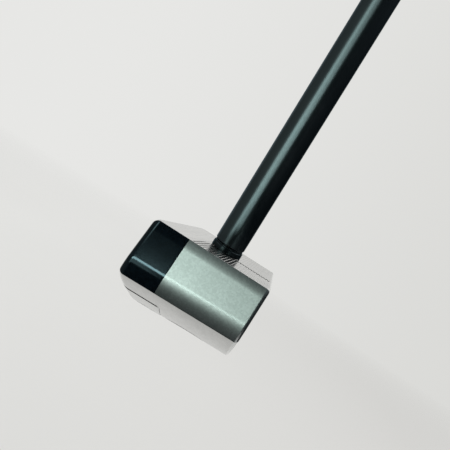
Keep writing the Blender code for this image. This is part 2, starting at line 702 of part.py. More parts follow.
stations = [SHAFT_TOP_S, TAPER_END, TIP_PARALLEL, SHAFT_TIP_S + EDGE_BREAK]
outer = [(shaft_radius(s), s) for s in stations]
inner = [(shaft_radius(s) - shaft_wall(s), s) for s in (SHAFT_TIP_S, TIP_PARALLEL, TAPER_END, SHAFT_TOP_S)]
tube = outer + [(TIP_RADIUS - EDGE_BREAK, SHAFT_TIP_S)] + inner
on_shaft("shaft", turned_mesh("shaft", tube, closed=True, steps=48), SHAFT_BLACK)

plug_low = POST_REACH + GAP
on_shaft("shaft_tip_plug", turned_mesh("shaft_tip_plug", solid_profile(
    (POST_RADIUS, plug_low + PLUG_LENGTH), (POST_RADIUS, plug_low)), steps=24), CORK)

tape_in = BUTT_RADIUS + GAP
tape_low = GRIP_START_S + GRIP_MOUTH_LENGTH / 2
on_shaft("grip_tape", turned_mesh("grip_tape", [
    (TAPE_RADIUS, SHAFT_TOP_S), (TAPE_RADIUS, tape_low), (tape_in, tape_low), (tape_in, SHAFT_TOP_S)],
    closed=True), TAPE)


# Grip: a moulded sleeve with a thumb flat towards the toe, lofted ring by ring, bored for the taped shaft

def grip_ring(width, depth, flat, s, count=ROUND_STEPS):
    """One section: an oval whose toe side is pulled back to the thumb flat."""
    points = []
    for k in range(count):
        angle = 2 * math.pi * k / count
        x = width / 2 * math.cos(angle)
        y = depth / 2 * math.sin(angle)
        past = max(y - flat, 0)
        points.append((x * (1 + past / depth / 3), y - past * GRIP_FLAT_PULL, s))
    return points


def round_ring(radius, s, count=ROUND_STEPS):
    turn = [2 * math.pi * k / count for k in range(count)]
    return [(radius * math.cos(a), radius * math.sin(a), s) for a in turn]


def grip_mesh():
    rings = []
    lip = 2 * (GRIP_BORE + GRIP_LIP)
    for share in (0, 0.15, 0.35, 0.6, 0.8, 1):
        swell = math.sin(share * math.pi / 2)
        width = lip + (GRIP_LOW_WIDTH - lip) * swell
        depth = lip + (GRIP_LOW_DEPTH - lip) * swell
        flat = depth / 2 + (GRIP_FLAT_LOW - GRIP_LOW_DEPTH / 2) * share
        rings.append(grip_ring(width, depth, flat, GRIP_START_S + GRIP_MOUTH_LENGTH * share))
    upper = GRIP_START_S + GRIP_MOUTH_LENGTH
    for k in range(1, 11):
        share = k / 10
        ease = share * share * (3 - 2 * share)
        width = GRIP_LOW_WIDTH + (GRIP_TOP_WIDTH - GRIP_LOW_WIDTH) * ease
        depth = GRIP_LOW_DEPTH + (GRIP_TOP_DEPTH - GRIP_LOW_DEPTH) * ease
        flat = GRIP_FLAT_LOW + (GRIP_FLAT_TOP - GRIP_FLAT_LOW) * ease
        rings.append(grip_ring(width, depth, flat, upper + (BUTT_S - 2 * GRIP_RIM - upper) * share))
    for inset, drop in ((0.3, 0.7), (1, 0)):
        cut_in = 2 * GRIP_RIM * inset
        width = GRIP_TOP_WIDTH - cut_in
        depth = GRIP_TOP_DEPTH - cut_in
        rings.append(grip_ring(width, depth, GRIP_FLAT_TOP - cut_in / 2, BUTT_S - GRIP_RIM * drop))
    seat = BUTT_S - CAP_THICKNESS - GAP
    rings.append(round_ring(CAP_RADIUS + GAP, BUTT_S))
    rings.append(round_ring(CAP_RADIUS + GAP, seat))
    rings.append(round_ring(GRIP_BORE, seat))
    rings.append(round_ring(GRIP_BORE, GRIP_START_S))
    work = bmesh.new()
    loops = [[work.verts.new(point) for point in ring] for ring in rings]
    for lower, higher in zip(loops, loops[1:] + loops[:1]):
        for k in range(len(lower)):
            after = (k + 1) % len(lower)
            work.faces.new((lower[k], lower[after], higher[after], higher[k]))
    bmesh.ops.recalc_face_normals(work, faces=work.faces)
    mesh = bpy.data.meshes.new("grip")
    work.to_mesh(mesh)
    work.free()
    return mesh


on_shaft("grip", grip_mesh(), RUBBER)

cap_low = BUTT_S - CAP_THICKNESS
plug_radius = BUTT_BORE - GAP
on_shaft("grip_cap", turned_mesh("grip_cap", [
    (VENT_RADIUS, BUTT_S + CAP_CROWN), (CAP_RADIUS - CAP_EDGE, BUTT_S + CAP_CROWN / 2),
    (CAP_RADIUS, BUTT_S - CAP_CROWN), (CAP_RADIUS, cap_low), (plug_radius, cap_low),
    (plug_radius, cap_low - CAP_PLUG_LENGTH), (VENT_RADIUS, cap_low - CAP_PLUG_LENGTH)],
    closed=True), CAP_PLASTIC)
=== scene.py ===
import math

import bmesh
import bpy
from mathutils import Matrix, Vector


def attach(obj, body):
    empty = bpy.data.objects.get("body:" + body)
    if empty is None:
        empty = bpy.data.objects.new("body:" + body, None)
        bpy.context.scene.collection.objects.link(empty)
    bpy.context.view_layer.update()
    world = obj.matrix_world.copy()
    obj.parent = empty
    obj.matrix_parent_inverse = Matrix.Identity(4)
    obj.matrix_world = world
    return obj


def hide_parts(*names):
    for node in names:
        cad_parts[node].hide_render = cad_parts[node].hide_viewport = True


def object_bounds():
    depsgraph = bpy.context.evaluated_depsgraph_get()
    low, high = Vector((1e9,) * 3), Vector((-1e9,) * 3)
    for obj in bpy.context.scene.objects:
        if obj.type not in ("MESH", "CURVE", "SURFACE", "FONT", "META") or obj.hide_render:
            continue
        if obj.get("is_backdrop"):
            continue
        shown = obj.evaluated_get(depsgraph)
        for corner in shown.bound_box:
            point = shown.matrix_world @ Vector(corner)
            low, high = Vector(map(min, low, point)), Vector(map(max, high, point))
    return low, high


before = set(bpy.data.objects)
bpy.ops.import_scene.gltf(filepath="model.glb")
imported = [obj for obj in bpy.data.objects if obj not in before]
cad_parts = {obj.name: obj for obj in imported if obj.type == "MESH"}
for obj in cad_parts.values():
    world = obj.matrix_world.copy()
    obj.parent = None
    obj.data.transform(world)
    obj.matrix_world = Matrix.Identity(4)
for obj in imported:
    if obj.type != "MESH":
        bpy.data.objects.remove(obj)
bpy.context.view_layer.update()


# Silver rear body. On the real putter it is milled from an aluminium bar and its walls are
# bead-blasted; the crown is then cut with fine cross grooves and the sole is left as milled.
# It carries the shaft, the weights and the screws that hold the face block.

HEAD_LENGTH = 0.112
HEAD_DEPTH = 0.0329
CROWN_Z = 0.026
FACE_X = -HEAD_DEPTH / 2
BACK_X = HEAD_DEPTH / 2
HALF_LENGTH = HEAD_LENGTH / 2
LOFT = math.radians(4.5)
SOLE_RISE = math.radians(1.4)
SOLE_EDGE_Z = 0.01035
SOLE_FLAT = 0.012
UNDER_ROLL = 0.0056
UNDER_ROLL_ANGLE = math.radians(33)
UNDER_RADIUS = UNDER_ROLL / math.sin(UNDER_ROLL_ANGLE)
TOP_ROLL = 0.0028
TOP_ROLL_ANGLE = math.radians(17)
TOP_RADIUS = TOP_ROLL / math.sin(TOP_ROLL_ANGLE)
SOLE_EDGE_Y = HALF_LENGTH - UNDER_RADIUS * (1 - math.cos(UNDER_ROLL_ANGLE))
SOLE_SPREAD = (SOLE_EDGE_Y ** 2 - (SOLE_FLAT / 2) ** 2) / SOLE_EDGE_Z
SOLE_CENTRE_Z = (SOLE_SPREAD + SOLE_EDGE_Z) / 2
SOLE_RADIUS = math.hypot(SOLE_CENTRE_Z, SOLE_FLAT / 2)
END_CORNER = 0.0017
LEADING_EDGE = 0.005
TOP_LINE = 0.0008
END_BACK_EDGE = 0.001
SOLE_BACK_EDGE = 0.0006
CROWN_BACK_EDGE = 0.0004
CROWN_EDGE_RUN = 0.006
SOLE_EDGE_RUN = 0.022
CROWN_EDGE_BREAK = 0.00012
SOLE_EDGE_BREAK = 0.00018
SEAM_X = FACE_X + 0.0099
SEAM_TILT = math.radians(1.7)
SEAM_POINT = Vector((SEAM_X, 0, CROWN_Z))
SEAM_NORMAL = Vector((math.cos(SEAM_TILT), 0, -math.sin(SEAM_TILT)))
BOND_LINE = 0.000004
CROWN_STEPS = 9
TOP_ROLL_STEPS = 12
UNDER_ROLL_STEPS = 20
SOLE_STEPS = 48
EDGE_STEPS = 9
BLACK_EDGE_STEPS = 4
BREAK_STEPS = 4
CROWN_CORNER = CROWN_STEPS
SOLE_CORNER = CROWN_STEPS + 1 + TOP_ROLL_STEPS + UNDER_ROLL_STEPS
WALLS, MILLED, PAINT_AND_PAINTED_SHADE, SKIMMED = range(4)


def sole_z(y, inset=0.0):
    return SOLE_CENTRE_Z - math.sqrt((SOLE_RADIUS - inset) ** 2 - y ** 2)


def clamped(share):
    return min(max(share, 0), 1)


def growing(start, end, share):
    """Runs smoothly from one size to another as the share goes from 0 to 1."""
    share = clamped(share)
    return start + (end - start) * share * share * (3 - 2 * share)


def toe_half():
    """Half of the head's end-on outline, crown to sole: y, z, front edge, back edge, 1 if it is low."""
    corner_y = HALF_LENGTH - TOP_RADIUS * (1 - math.cos(TOP_ROLL_ANGLE))
    line = []
    for k in range(CROWN_STEPS):
        share = 1 - k / CROWN_STEPS
        line.append((corner_y - CROWN_EDGE_RUN * share, CROWN_Z, growing(END_CORNER, TOP_LINE, share),
                     growing(END_BACK_EDGE, CROWN_BACK_EDGE, share), 0))
    for k in range(TOP_ROLL_STEPS + 1):
        angle = TOP_ROLL_ANGLE * (1 - k / TOP_ROLL_STEPS)
        y = HALF_LENGTH - TOP_RADIUS * (1 - math.cos(angle))
        line.append((y, CROWN_Z - TOP_ROLL + TOP_RADIUS * math.sin(angle), END_CORNER, END_BACK_EDGE, 0))
    for k in range(UNDER_ROLL_STEPS + 1):
        angle = UNDER_ROLL_ANGLE * k / UNDER_ROLL_STEPS
        y = HALF_LENGTH - UNDER_RADIUS * (1 - math.cos(angle))
        z = SOLE_EDGE_Z + UNDER_ROLL - UNDER_RADIUS * math.sin(angle)
        line.append((y, z, END_CORNER, END_BACK_EDGE, 1))
    outer = math.asin(SOLE_EDGE_Y / SOLE_RADIUS)
    inner = math.asin(SOLE_FLAT / 2 / SOLE_RADIUS)
    for k in range(1, SOLE_STEPS + 1):
        y = SOLE_RADIUS * math.sin(outer + (inner - outer) * k / SOLE_STEPS)
        share = (SOLE_EDGE_Y - y) / SOLE_EDGE_RUN
        line.append((y, sole_z(y), growing(END_CORNER, LEADING_EDGE, share),
                     growing(END_BACK_EDGE, SOLE_BACK_EDGE, share), 1))
    return line


def eased(ring, at, reach):
    """Takes the sharpness off one corner of a section, and straightens what the corner has overtaken."""
    corner = ring[at]
    well_clear = 8
    overtaken_up_to = 1.2 * reach
    ends = []
    for step in (-1, 1):
        away = (ring[at + well_clear * step] - corner).normalized()
        k = at + step
        while (ring[k] - corner).dot(away) < overtaken_up_to:
            k += step
        ends.append(corner + (ring[k] - corner).normalized() * reach)
        for overtaken in range(at + step, k, step):
            ring[overtaken] = ends[-1]
    shares = [k / BREAK_STEPS for k in range(BREAK_STEPS + 1)]
    bend = [ends[0].lerp(corner, t).lerp(corner.lerp(ends[1], t), t) for t in shares]
    return ring[:at] + bend + ring[at + 1:]


def facing_out(form):
    bmesh.ops.recalc_face_normals(form, faces=form.faces)
    return form


def head_form():
    """The whole head before it is split: the outline carried from face to back, its edges rounded.

    Faces of the crown, the sole and the back half of the leading edge are milled bare.
    """
    half = toe_half()
    outline = half + [(-spot[0], *spot[1:]) for spot in reversed(half)]
    moves = []
    for k, spot in enumerate(outline):
        here = Vector(spot[:2])
        before = (here - Vector(outline[k - 1][:2])).normalized()
        after = (Vector(outline[(k + 1) % len(outline)][:2]) - here).normalized()
        middle = (before + after).normalized()
        moves.append(Vector((middle.y, -middle.x)) / middle.dot(before))
    last = len(outline) - 1
    breaks = ((last - CROWN_CORNER, CROWN_EDGE_BREAK), (last - SOLE_CORNER, SOLE_EDGE_BREAK),
              (SOLE_CORNER, SOLE_EDGE_BREAK), (CROWN_CORNER, CROWN_EDGE_BREAK))
    form = bmesh.new()
    loops = []
    turns = [math.pi / 2 * k / EDGE_STEPS for k in range(EDGE_STEPS + 1)]
    for turn, at_back in [(t, False) for t in turns] + [(t, True) for t in reversed(turns)]:
        loop = []
        for (y, z, front, back, low), move in zip(outline, moves):
            edge = back if at_back else front
            y += move.x * edge * (1 - math.sin(turn))
            z += move.y * edge * (1 - math.sin(turn))
            inwards = edge * (1 - math.cos(turn))
            x = BACK_X - inwards
            if not at_back:
                x = FACE_X + inwards + (z - CROWN_Z) * math.tan(LOFT)
                x /= 1 - low * math.tan(LOFT) * math.tan(SOLE_RISE)
            loop.append(Vector((x, y, z + low * x * math.tan(SOLE_RISE))))
        for at, reach in breaks:
            loop = eased(loop, at, reach)
        loops.append([form.verts.new(spot) for spot in loop])
    count = len(loops[0])
    crown_end = CROWN_CORNER + 2
    sole_start = SOLE_CORNER + BREAK_STEPS + 2
    for number, (ahead, behind) in enumerate(zip(loops, loops[1:])):
        between_edges = number == EDGE_STEPS
        under_front_edge = BLACK_EDGE_STEPS <= number < EDGE_STEPS
        for k in range(count):
            face = form.faces.new((ahead[k - 1], ahead[k], behind[k], behind[k - 1]))
            on_crown = min(k, count - k) < crown_end
            on_sole = min(k, count - k) > sole_start
            bare = between_edges and on_crown or (between_edges or under_front_edge) and on_sole
            face.material_index = MILLED if bare else WALLS
    form.faces.new(loops[0])
    form.faces.new(loops[-1])
    bmesh.ops.remove_doubles(form, verts=form.verts, dist=1e-6)
    return facing_out(form)


def split_off(form, outwards):
    """Keeps the head on one side of the seam, just short of it, and closes the cut."""
    everything = [*form.verts, *form.edges, *form.faces]
    just_short = SEAM_POINT - outwards * BOND_LINE
    bmesh.ops.bisect_plane(form, geom=everything, plane_co=just_short, plane_no=outwards, clear_outer=True)
    rim = [edge for edge in form.edges if edge.is_boundary]
    bmesh.ops.contextual_create(form, geom=rim)
    return facing_out(form)


def solid(name, form, place=Matrix.Identity(4)):
    mesh = bpy.data.meshes.new(name)
    form.to_mesh(mesh)
    form.free()
    made = bpy.data.objects.new(name, mesh)
    made.matrix_world = place
    bpy.context.scene.collection.objects.link(made)
    return made


def worked(piece, tool, operation="DIFFERENCE", cut_finish=None):
    """Cuts one piece with another; the tool is used up. Cut faces can take one of the piece's finishes."""
    if cut_finish is not None:
        for face in tool.data.polygons:
            face.material_index = cut_finish
    pass_over = piece.modifiers.new("pass_over", "BOOLEAN")
    pass_over.operation = operation
    pass_over.solver = "EXACT"
    pass_over.object = tool
    bpy.context.view_layer.update()
    graph = bpy.context.evaluated_depsgraph_get()
    old = piece.data
    piece.data = bpy.data.meshes.new_from_object(piece.evaluated_get(graph))
    piece.modifiers.clear()
    bpy.data.meshes.remove(old)
    bpy.data.objects.remove(tool, do_unlink=True)


def circle(radius, steps, first=0.0):
    """Points round a circle, as x and y."""
    turns = [first + 2 * math.pi * k / steps for k in range(steps)]
    return [(radius * math.cos(turn), radius * math.sin(turn)) for turn in turns]


def stepped(*steps):
    """The outline of a turned piece or hole from (radius, start, end) steps, closed at both ends."""
    walls = [(radius, height) for radius, start, end in steps for height in (start, end)]
    return [(0, walls[0][1]), *walls, (0, walls[-1][1])]


def turned(name, profile, steps, place=Matrix.Identity(4), ring=False):
    """A part off the lathe: (radius, height) points turned about the local Z."""
    form = bmesh.new()
    loops = []
    for radius, height in profile:
        spots = circle(radius, steps) if radius > 0 else [(0, 0)]
        loops.append([form.verts.new((x, y, height)) for x, y in spots])
    pairs = list(zip(loops, loops[1:]))
    if ring:
        pairs.append((loops[-1], loops[0]))
    for low, high in pairs:
        for k in range(steps):
            corners = (low[k % len(low)], low[(k + 1) % len(low)],
                       high[(k + 1) % len(high)], high[k % len(high)])
            form.faces.new(list(dict.fromkeys(corners)))
    return solid(name, facing_out(form), place)


def side_by_side(tools):
    """Puts several tools on one arbor, so that one pass cuts them all."""
    form = bmesh.new()
    for tool in tools:
        before = len(form.verts)
        form.from_mesh(tool.data)
        form.verts.ensure_lookup_table()
        bmesh.ops.transform(form, verts=form.verts[before:], matrix=tool.matrix_world)
        bpy.data.objects.remove(tool, do_unlink=True)
    return solid("tools", form)


def bar(form, *ends):
    """A straight bar between two outlines with the same number of corners."""
    one, other = [[form.verts.new(spot) for spot in end] for end in ends]
    form.faces.new(one)
    form.faces.new(other)
    for k in range(len(one)):
        form.faces.new((one[k - 1], one[k], other[k], other[k - 1]))


def plate_of(name, corners, low, high, place=Matrix.Identity(4)):
    """A flat outline given thickness between two heights."""
    form = bmesh.new()
    bar(form, *[[(x, y, z) for x, y in corners] for z in (low, high)])
    return solid(name, facing_out(form), place)


def hexagon(across_flats):
    return circle(across_flats / math.sqrt(3), 6, first=math.radians(8))


def coated(piece, *finishes):
    for finish in finishes:
        piece.data.materials.append(finish.material)


def dressed(piece, node, crease):
    """Shades a finished piece and puts it in its CAD node's place."""
    piece.data.shade_smooth()
    piece.data.set_sharp_from_angle(angle=math.radians(crease))
    flat = piece.modifiers.new("flat_faces_stay_flat", "WEIGHTED_NORMAL")
    flat.keep_sharp = True
    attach(piece, "root")
    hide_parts(node)


def tuned(node, **values):
    """Sets a node's own sockets by their labels."""
    for label, value in values.items():
        node.inputs[label.replace("_", " ")].default_value = value
    return node


def arithmetic(tree, operation, *values, clamp=False):
    """One sum on numbers or on what other nodes give."""
    node = tree.nodes.new("ShaderNodeMath")
    node.operation = operation
    node.use_clamp = clamp
    for socket, value in zip(node.inputs, values):
        if isinstance(value, float):
            socket.default_value = value
        else:
            tree.links.new(value, socket)
    return node.outputs[0]


def colour_mix(tree, factor, one, two):
    """Mixes two colours, each a fixed one or what another node gives."""
    mix = tree.nodes.new("ShaderNodeMix")
    mix.data_type = "RGBA"
    tree.links.new(factor, mix.inputs["Factor"])
    for socket, colour in zip(mix.inputs[6:8], (one, two)):
        if isinstance(colour, tuple):
            socket.default_value = (*colour, 1)
        else:
            tree.links.new(colour, socket)
    return mix.outputs[2]


def group_of(name, setting, kind, value, masks):
    """An empty shader group that takes a place and one setting, and gives masks."""
    group = bpy.data.node_groups.new(name, "ShaderNodeTree")
    group.interface.new_socket(name="Vector", in_out="INPUT", socket_type="NodeSocketVector")
    group.interface.new_socket(name=setting, in_out="INPUT", socket_type=kind).default_value = value
    for mask in masks:
        group.interface.new_socket(name=mask, in_out="OUTPUT", socket_type="NodeSocketFloat")
    return group, *group.nodes.new("NodeGroupInput").outputs[:2], group.nodes.new("NodeGroupOutput")


def blast_grain():
    """Bead-blasting: small dents all over, with brighter and darker specks between them."""
    group, place, scale, out = group_of("blast_grain", "Per Metre", "NodeSocketFloat", 4200,
                                        ("Dents", "Specks", "Cloud"))
    link = group.links.new
    dents = tuned(group.nodes.new("ShaderNodeTexNoise"), Detail=2)
    link(place, dents.inputs["Vector"])
    link(scale, dents.inputs["Scale"])
    specks_per_dent = 0.62
    cells = group.nodes.new("ShaderNodeTexVoronoi")
    link(place, cells.inputs["Vector"])
    link(arithmetic(group, "MULTIPLY", scale, specks_per_dent), cells.inputs["Scale"])
    split = group.nodes.new("ShaderNodeSeparateColor")
    link(cells.outputs["Color"], split.inputs[0])
    cloud = tuned(group.nodes.new("ShaderNodeTexNoise"), Scale=320, Detail=3)
    link(place, cloud.inputs["Vector"])
    link(dents.outputs["Fac"], out.inputs["Dents"])
    link(split.outputs[0], out.inputs["Specks"])
    link(cloud.outputs["Fac"], out.inputs["Cloud"])
    return group


def tool_lines():
    """Fine parallel lines left by a cutter or a belt; the stretch sets their direction."""
    group, place, stretch, out = group_of("tool_lines", "Stretch", "NodeSocketVector", (3000, 60, 3000),
                                          ("Lines", "Bands"))
    link = group.links.new
    for label, share, detail in (("Lines", 1, 3), ("Bands", 0.16, 1)):
        stretched = group.nodes.new("ShaderNodeVectorMath")
        stretched.operation = "MULTIPLY"
        link(place, stretched.inputs[0])
        link(stretch, stretched.inputs[1])
        noise = tuned(group.nodes.new("ShaderNodeTexNoise"), Scale=share, Detail=detail)
        link(stretched.outputs[0], noise.inputs["Vector"])
        link(noise.outputs["Fac"], out.inputs[label])
    return group


def handling():
    """Faint smears and a little dust, as on a club that has been held."""
    group, place, scale, out = group_of("handling", "Per Metre", "NodeSocketFloat", 60,
                                        ("Smears", "Dust"))
    link = group.links.new
    smears = tuned(group.nodes.new("ShaderNodeTexNoise"), Detail=5, Roughness=0.62)
    link(place, smears.inputs["Vector"])
    link(scale, smears.inputs["Scale"])
    specks = tuned(group.nodes.new("ShaderNodeTexVoronoi"), Scale=900)
    link(place, specks.inputs["Vector"])
    small = tuned(group.nodes.new("ShaderNodeMapRange"), From_Min=0.10, From_Max=0.02)
    link(specks.outputs["Distance"], small.inputs["Value"])
    link(smears.outputs["Fac"], out.inputs["Smears"])
    link(small.outputs[0], out.inputs["Dust"])
    return group


BLAST_GRAIN = blast_grain()
TOOL_LINES = tool_lines()
HANDLING = handling()


class Finish:
    """One material with its shader, and the few ways in which its surface varies."""

    def __init__(self, name, metallic, roughness, specular=0.5):
        self.material = bpy.data.materials.new(name)
        self.material.use_nodes = True
        self.tree = self.material.node_tree
        self.link = self.tree.links.new
        self.shader = tuned(self.tree.nodes["Principled BSDF"],
                            Metallic=metallic, Roughness=roughness, Specular_IOR_Level=specular)
        self.place = self.tree.nodes.new("ShaderNodeTexCoord").outputs["Object"]

    def effect(self, group, **values):
        node = self.tree.nodes.new("ShaderNodeGroup")
        node.node_tree = group
        self.link(self.place, node.inputs["Vector"])
        return tuned(node, **values).outputs

    def limits(self, mask, low, high, start, end):
        node = tuned(self.tree.nodes.new("ShaderNodeMapRange"),
                     From_Min=low, From_Max=high, To_Min=start, To_Max=end)
        self.link(mask, node.inputs["Value"])
        return node.outputs[0]

    def colour(self, mask, dark, light, low=0.3, high=0.7):
        """Runs from dark to light as the mask goes from low to high; dark can be an earlier result."""
        mixed = colour_mix(self.tree, self.limits(mask, low, high, 0, 1), dark, light)
        self.link(mixed, self.shader.inputs["Base Color"])
        return mixed

    def dusty(self, touched, tone, dust):
        self.colour(touched["Dust"], tone, dust, low=0, high=1)

    def rough(self, mask, smooth, rough, low=0.3, high=0.7):
        self.link(self.limits(mask, low, high, smooth, rough), self.shader.inputs["Roughness"])

    def relief(self, height, distance, strength):
        bump = tuned(self.tree.nodes.new("ShaderNodeBump"), Distance=distance, Strength=strength)
        self.link(height, bump.inputs["Height"])
        self.link(bump.outputs[0], self.shader.inputs["Normal"])


blasted = Finish("blasted_silver", metallic=1, roughness=0.42)
tuned(blasted.shader, Coat_Weight=1, Coat_Roughness=0.14)
grain = blasted.effect(BLAST_GRAIN, Per_Metre=3600)
touched = blasted.effect(HANDLING, Per_Metre=45)
tone = blasted.colour(grain["Specks"], (0.65, 0.665, 0.65), (0.75, 0.765, 0.75), low=0.15, high=0.9)
blasted.dusty(touched, tone, (0.55, 0.56, 0.55))
blasted.rough(touched["Smears"], 0.34, 0.40)
blasted.relief(grain["Dents"], 0.00002, 0.27)

milled = Finish("milled_crown_and_sole", metallic=1, roughness=0.2)
lines = milled.effect(TOOL_LINES, Stretch=(5200, 70, 5200))
touched = milled.effect(HANDLING, Per_Metre=30)
tone = milled.colour(lines["Bands"], (0.40, 0.40, 0.39), (0.46, 0.46, 0.45))
milled.dusty(touched, tone, (0.42, 0.42, 0.42))
milled.rough(touched["Smears"], 0.16, 0.22)
milled.relief(lines["Lines"], 0.00001, 0.15)

# Dark finish: real black paint in the sight slot, and painted shade on the walls of the sole plate's pocket
# and of the weight ports, standing in for the shade in those gaps and recesses.
paint_and_painted_shade = Finish("sight_paint_and_painted_shade", metallic=0, roughness=0.6, specular=0.2)
grain = paint_and_painted_shade.effect(BLAST_GRAIN, Per_Metre=5000)
paint_and_painted_shade.colour(grain["Cloud"], (0.004, 0.004, 0.004), (0.012, 0.012, 0.012))
paint_and_painted_shade.rough(grain["Cloud"], 0.55, 0.75)

rear_body = solid("silver_rear_body", split_off(head_form(), -SEAM_NORMAL))
coated(rear_body, blasted, milled, paint_and_painted_shade)

# Black face block. It is milled like the rear body and anodised black, then its crown and sole
# are skimmed bare, level with that body. It is bonded, pinned and screwed to its front.

anodised = Finish("black_anodised", metallic=0, roughness=0.22, specular=0.8)
grain = anodised.effect(BLAST_GRAIN, Per_Metre=3000)
touched = anodised.effect(HANDLING, Per_Metre=50)
tone = anodised.colour(grain["Specks"], (0.0002, 0.0008, 0.0016), (0.001, 0.0025, 0.004), 0.1, 0.95)
anodised.dusty(touched, tone, (0.008, 0.012, 0.014))
anodised.rough(touched["Smears"], 0.09, 0.12)
tuned(anodised.shader, Specular_Tint=(0.75, 1, 1.15, 1))
anodised.relief(grain["Dents"], 0.00002, 0.11)

skimmed = Finish("skimmed_front_crown", metallic=1, roughness=0.2)
lines = skimmed.effect(TOOL_LINES, Stretch=(4600, 60, 4600))
skimmed.colour(lines["Bands"], (0.31, 0.31, 0.30), (0.355, 0.355, 0.345))
skimmed.rough(lines["Lines"], 0.11, 0.17)
skimmed.relief(lines["Lines"], 0.00001, 0.15)

face_block = solid("black_face_block", split_off(head_form(), SEAM_NORMAL))
for face in face_block.data.polygons:
    if face.material_index == MILLED and face.normal.z > 0.9:
        face.material_index = SKIMMED
coated(face_block, anodised, milled, paint_and_painted_shade, skimmed)

# Block screws and dowels. Two black cap screws pass through the rear body into the face block,
# and two ground pins keep the blocks in line. The pins are out of sight in their holes.

GAP = 0.0003
TOOL_OUTSIDE = 0.003
KEY_OUTSIDE = 0.001
ENDS = {"heel": -1, "toe": 1}
FASTENER_Z = 0.016
SEAM_AT_FASTENER = SEAM_X - (CROWN_Z - FASTENER_Z) * math.tan(SEAM_TILT) - BACK_X
SCREW_INSET = 0.022
SCREW_TOP = -0.0012
SCREW_UNDER = -0.0052
SCREW_TIP = SEAM_AT_FASTENER - 0.007
SCREW_HEAD = 0.0035
SCREW_SHANK = 0.002
SCREW_KEY = 0.003
SCREW_KEY_DEPTH = 0.002
HEAD_ROLL = 0.0005
HEAD_UNDER_EDGE = 0.0003
SHANK_POINT = 0.0005
KNURLS = 36
KNURL_SHARE = 0.022

black_oxide = Finish("black_screws", metallic=0.7, roughness=0.42)
grain = black_oxide.effect(BLAST_GRAIN, Per_Metre=5200)
touched = black_oxide.effect(HANDLING, Per_Metre=220)
tone = black_oxide.colour(grain["Specks"], (0.018, 0.018, 0.02), (0.04, 0.04, 0.043), low=0, high=1)
black_oxide.colour(touched["Smears"], tone, (0.1, 0.1, 0.1), low=0.6, high=0.75)
black_oxide.rough(touched["Smears"], 0.34, 0.5, low=0.35, high=0.65)
black_oxide.relief(grain["Dents"], 0.00002, 0.3)

ground = Finish("bright_steel", metallic=1, roughness=0.25)
lines = ground.effect(TOOL_LINES, Stretch=(260, 4200, 4200))
ground.colour(lines["Bands"], (0.52, 0.52, 0.53), (0.66, 0.66, 0.66))
ground.rough(lines["Lines"], 0.2, 0.32)
ground.relief(lines["Lines"], 0.00001, 0.2)


def in_the_back(y):
    return Matrix.Translation((BACK_X, y, FASTENER_Z)) @ Matrix.Rotation(math.pi / 2, 4, "Y")


def knurled(screw):
    """Presses short upright notches round a cap screw's head."""
    for vertex in screw.data.vertices:
        spot = vertex.co
        on_wall = SCREW_UNDER + HEAD_UNDER_EDGE - 1e-7 < spot.z < SCREW_TOP - HEAD_ROLL + 1e-7
        if on_wall and math.hypot(spot.x, spot.y) > SCREW_HEAD - 1e-5:
            turn = math.atan2(spot.y, spot.x) * KNURLS
            pull = 1 - KNURL_SHARE * (0.5 + 0.5 * math.cos(turn))
            spot.x *= pull
            spot.y *= pull


hole = stepped((SCREW_HEAD + GAP, TOOL_OUTSIDE, SCREW_UNDER - GAP),
               (SCREW_SHANK + GAP, SCREW_UNDER - GAP, SCREW_TIP - GAP))
screw_places = {end: in_the_back(side * (HALF_LENGTH - SCREW_INSET)) for end, side in ENDS.items()}
for block in (rear_body, face_block):
    drills = side_by_side([turned("hole", hole, 64, place) for place in screw_places.values()])
    worked(block, drills, cut_finish=MILLED)

head_rim = [(SCREW_HEAD - HEAD_ROLL * back, SCREW_TOP - HEAD_ROLL * down)
            for back, down in ((1, 0), (0.6, 0.1), (0.2, 0.5), (0, 1))]
profile = [(0, SCREW_TOP), *head_rim, (SCREW_HEAD, SCREW_UNDER + HEAD_UNDER_EDGE),
           (SCREW_HEAD - 0.0001, SCREW_UNDER), (SCREW_SHANK, SCREW_UNDER),
           (SCREW_SHANK, SCREW_TIP + SHANK_POINT), (SCREW_SHANK - SHANK_POINT, SCREW_TIP), (0, SCREW_TIP)]
for end, place in screw_places.items():
    screw = turned(end + "_cap_screw", profile, 144, place)
    knurled(screw)
    worked(screw, plate_of("key", hexagon(SCREW_KEY), SCREW_TOP - SCREW_KEY_DEPTH, KEY_OUTSIDE, place))
    coated(screw, black_oxide)
    dressed(screw, end + "_block_screw", crease=40)
    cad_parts[end + "_block_dowel"].data.materials[0] = ground.material

# Sole plate. A thin steel plate let into the front of the sole and ground to its curve, so that
# the leading edge wears well. Two small countersunk screws hold it up into the face block.

PLATE_BACK_X = -0.0052
PLATE_HALF = HALF_LENGTH - 0.0135
PLATE_THICKNESS = 0.0026
PLATE_CORNER = 0.001
PLATE_LINE = 0.00014
PLATE_PROUD = 0.00013
PROUD_FROM_FACE = 0.0015
PROUD_TO_BACK = 0.00075
PROUD_END_X = PLATE_BACK_X - 0.00005
PLATE_CORNER_STEPS = 12
PLATE_STEPS = 60
GROUND, PAINTED_SHADE_END = range(2)
PLATE_SCREW_X = -0.0101
PLATE_SCREW_INSET = 0.0315
PLATE_SCREW_TOP = 0.0003
PLATE_SCREW_NECK = 0.0016
PLATE_SCREW_TIP = 0.009
PLATE_SCREW_HEAD = 0.00274
PLATE_SCREW_SHANK = 0.0015
PLATE_SCREW_POINT = 0.00045
PLATE_SCREW_KEY = 0.0018
PLATE_SCREW_KEY_DEPTH = 0.0011
COUNTERSINK = 0.0031

sole_steel = Finish("ground_sole_steel", metallic=1, roughness=0.22)
lines = sole_steel.effect(TOOL_LINES, Stretch=(4200, 90, 4200))
touched = sole_steel.effect(HANDLING, Per_Metre=40)
sole_steel.colour(lines["Bands"], (0.50, 0.50, 0.49), (0.56, 0.56, 0.55))
sole_steel.rough(touched["Smears"], 0.18, 0.27)
sole_steel.relief(lines["Lines"], 0.00001, 0.25)


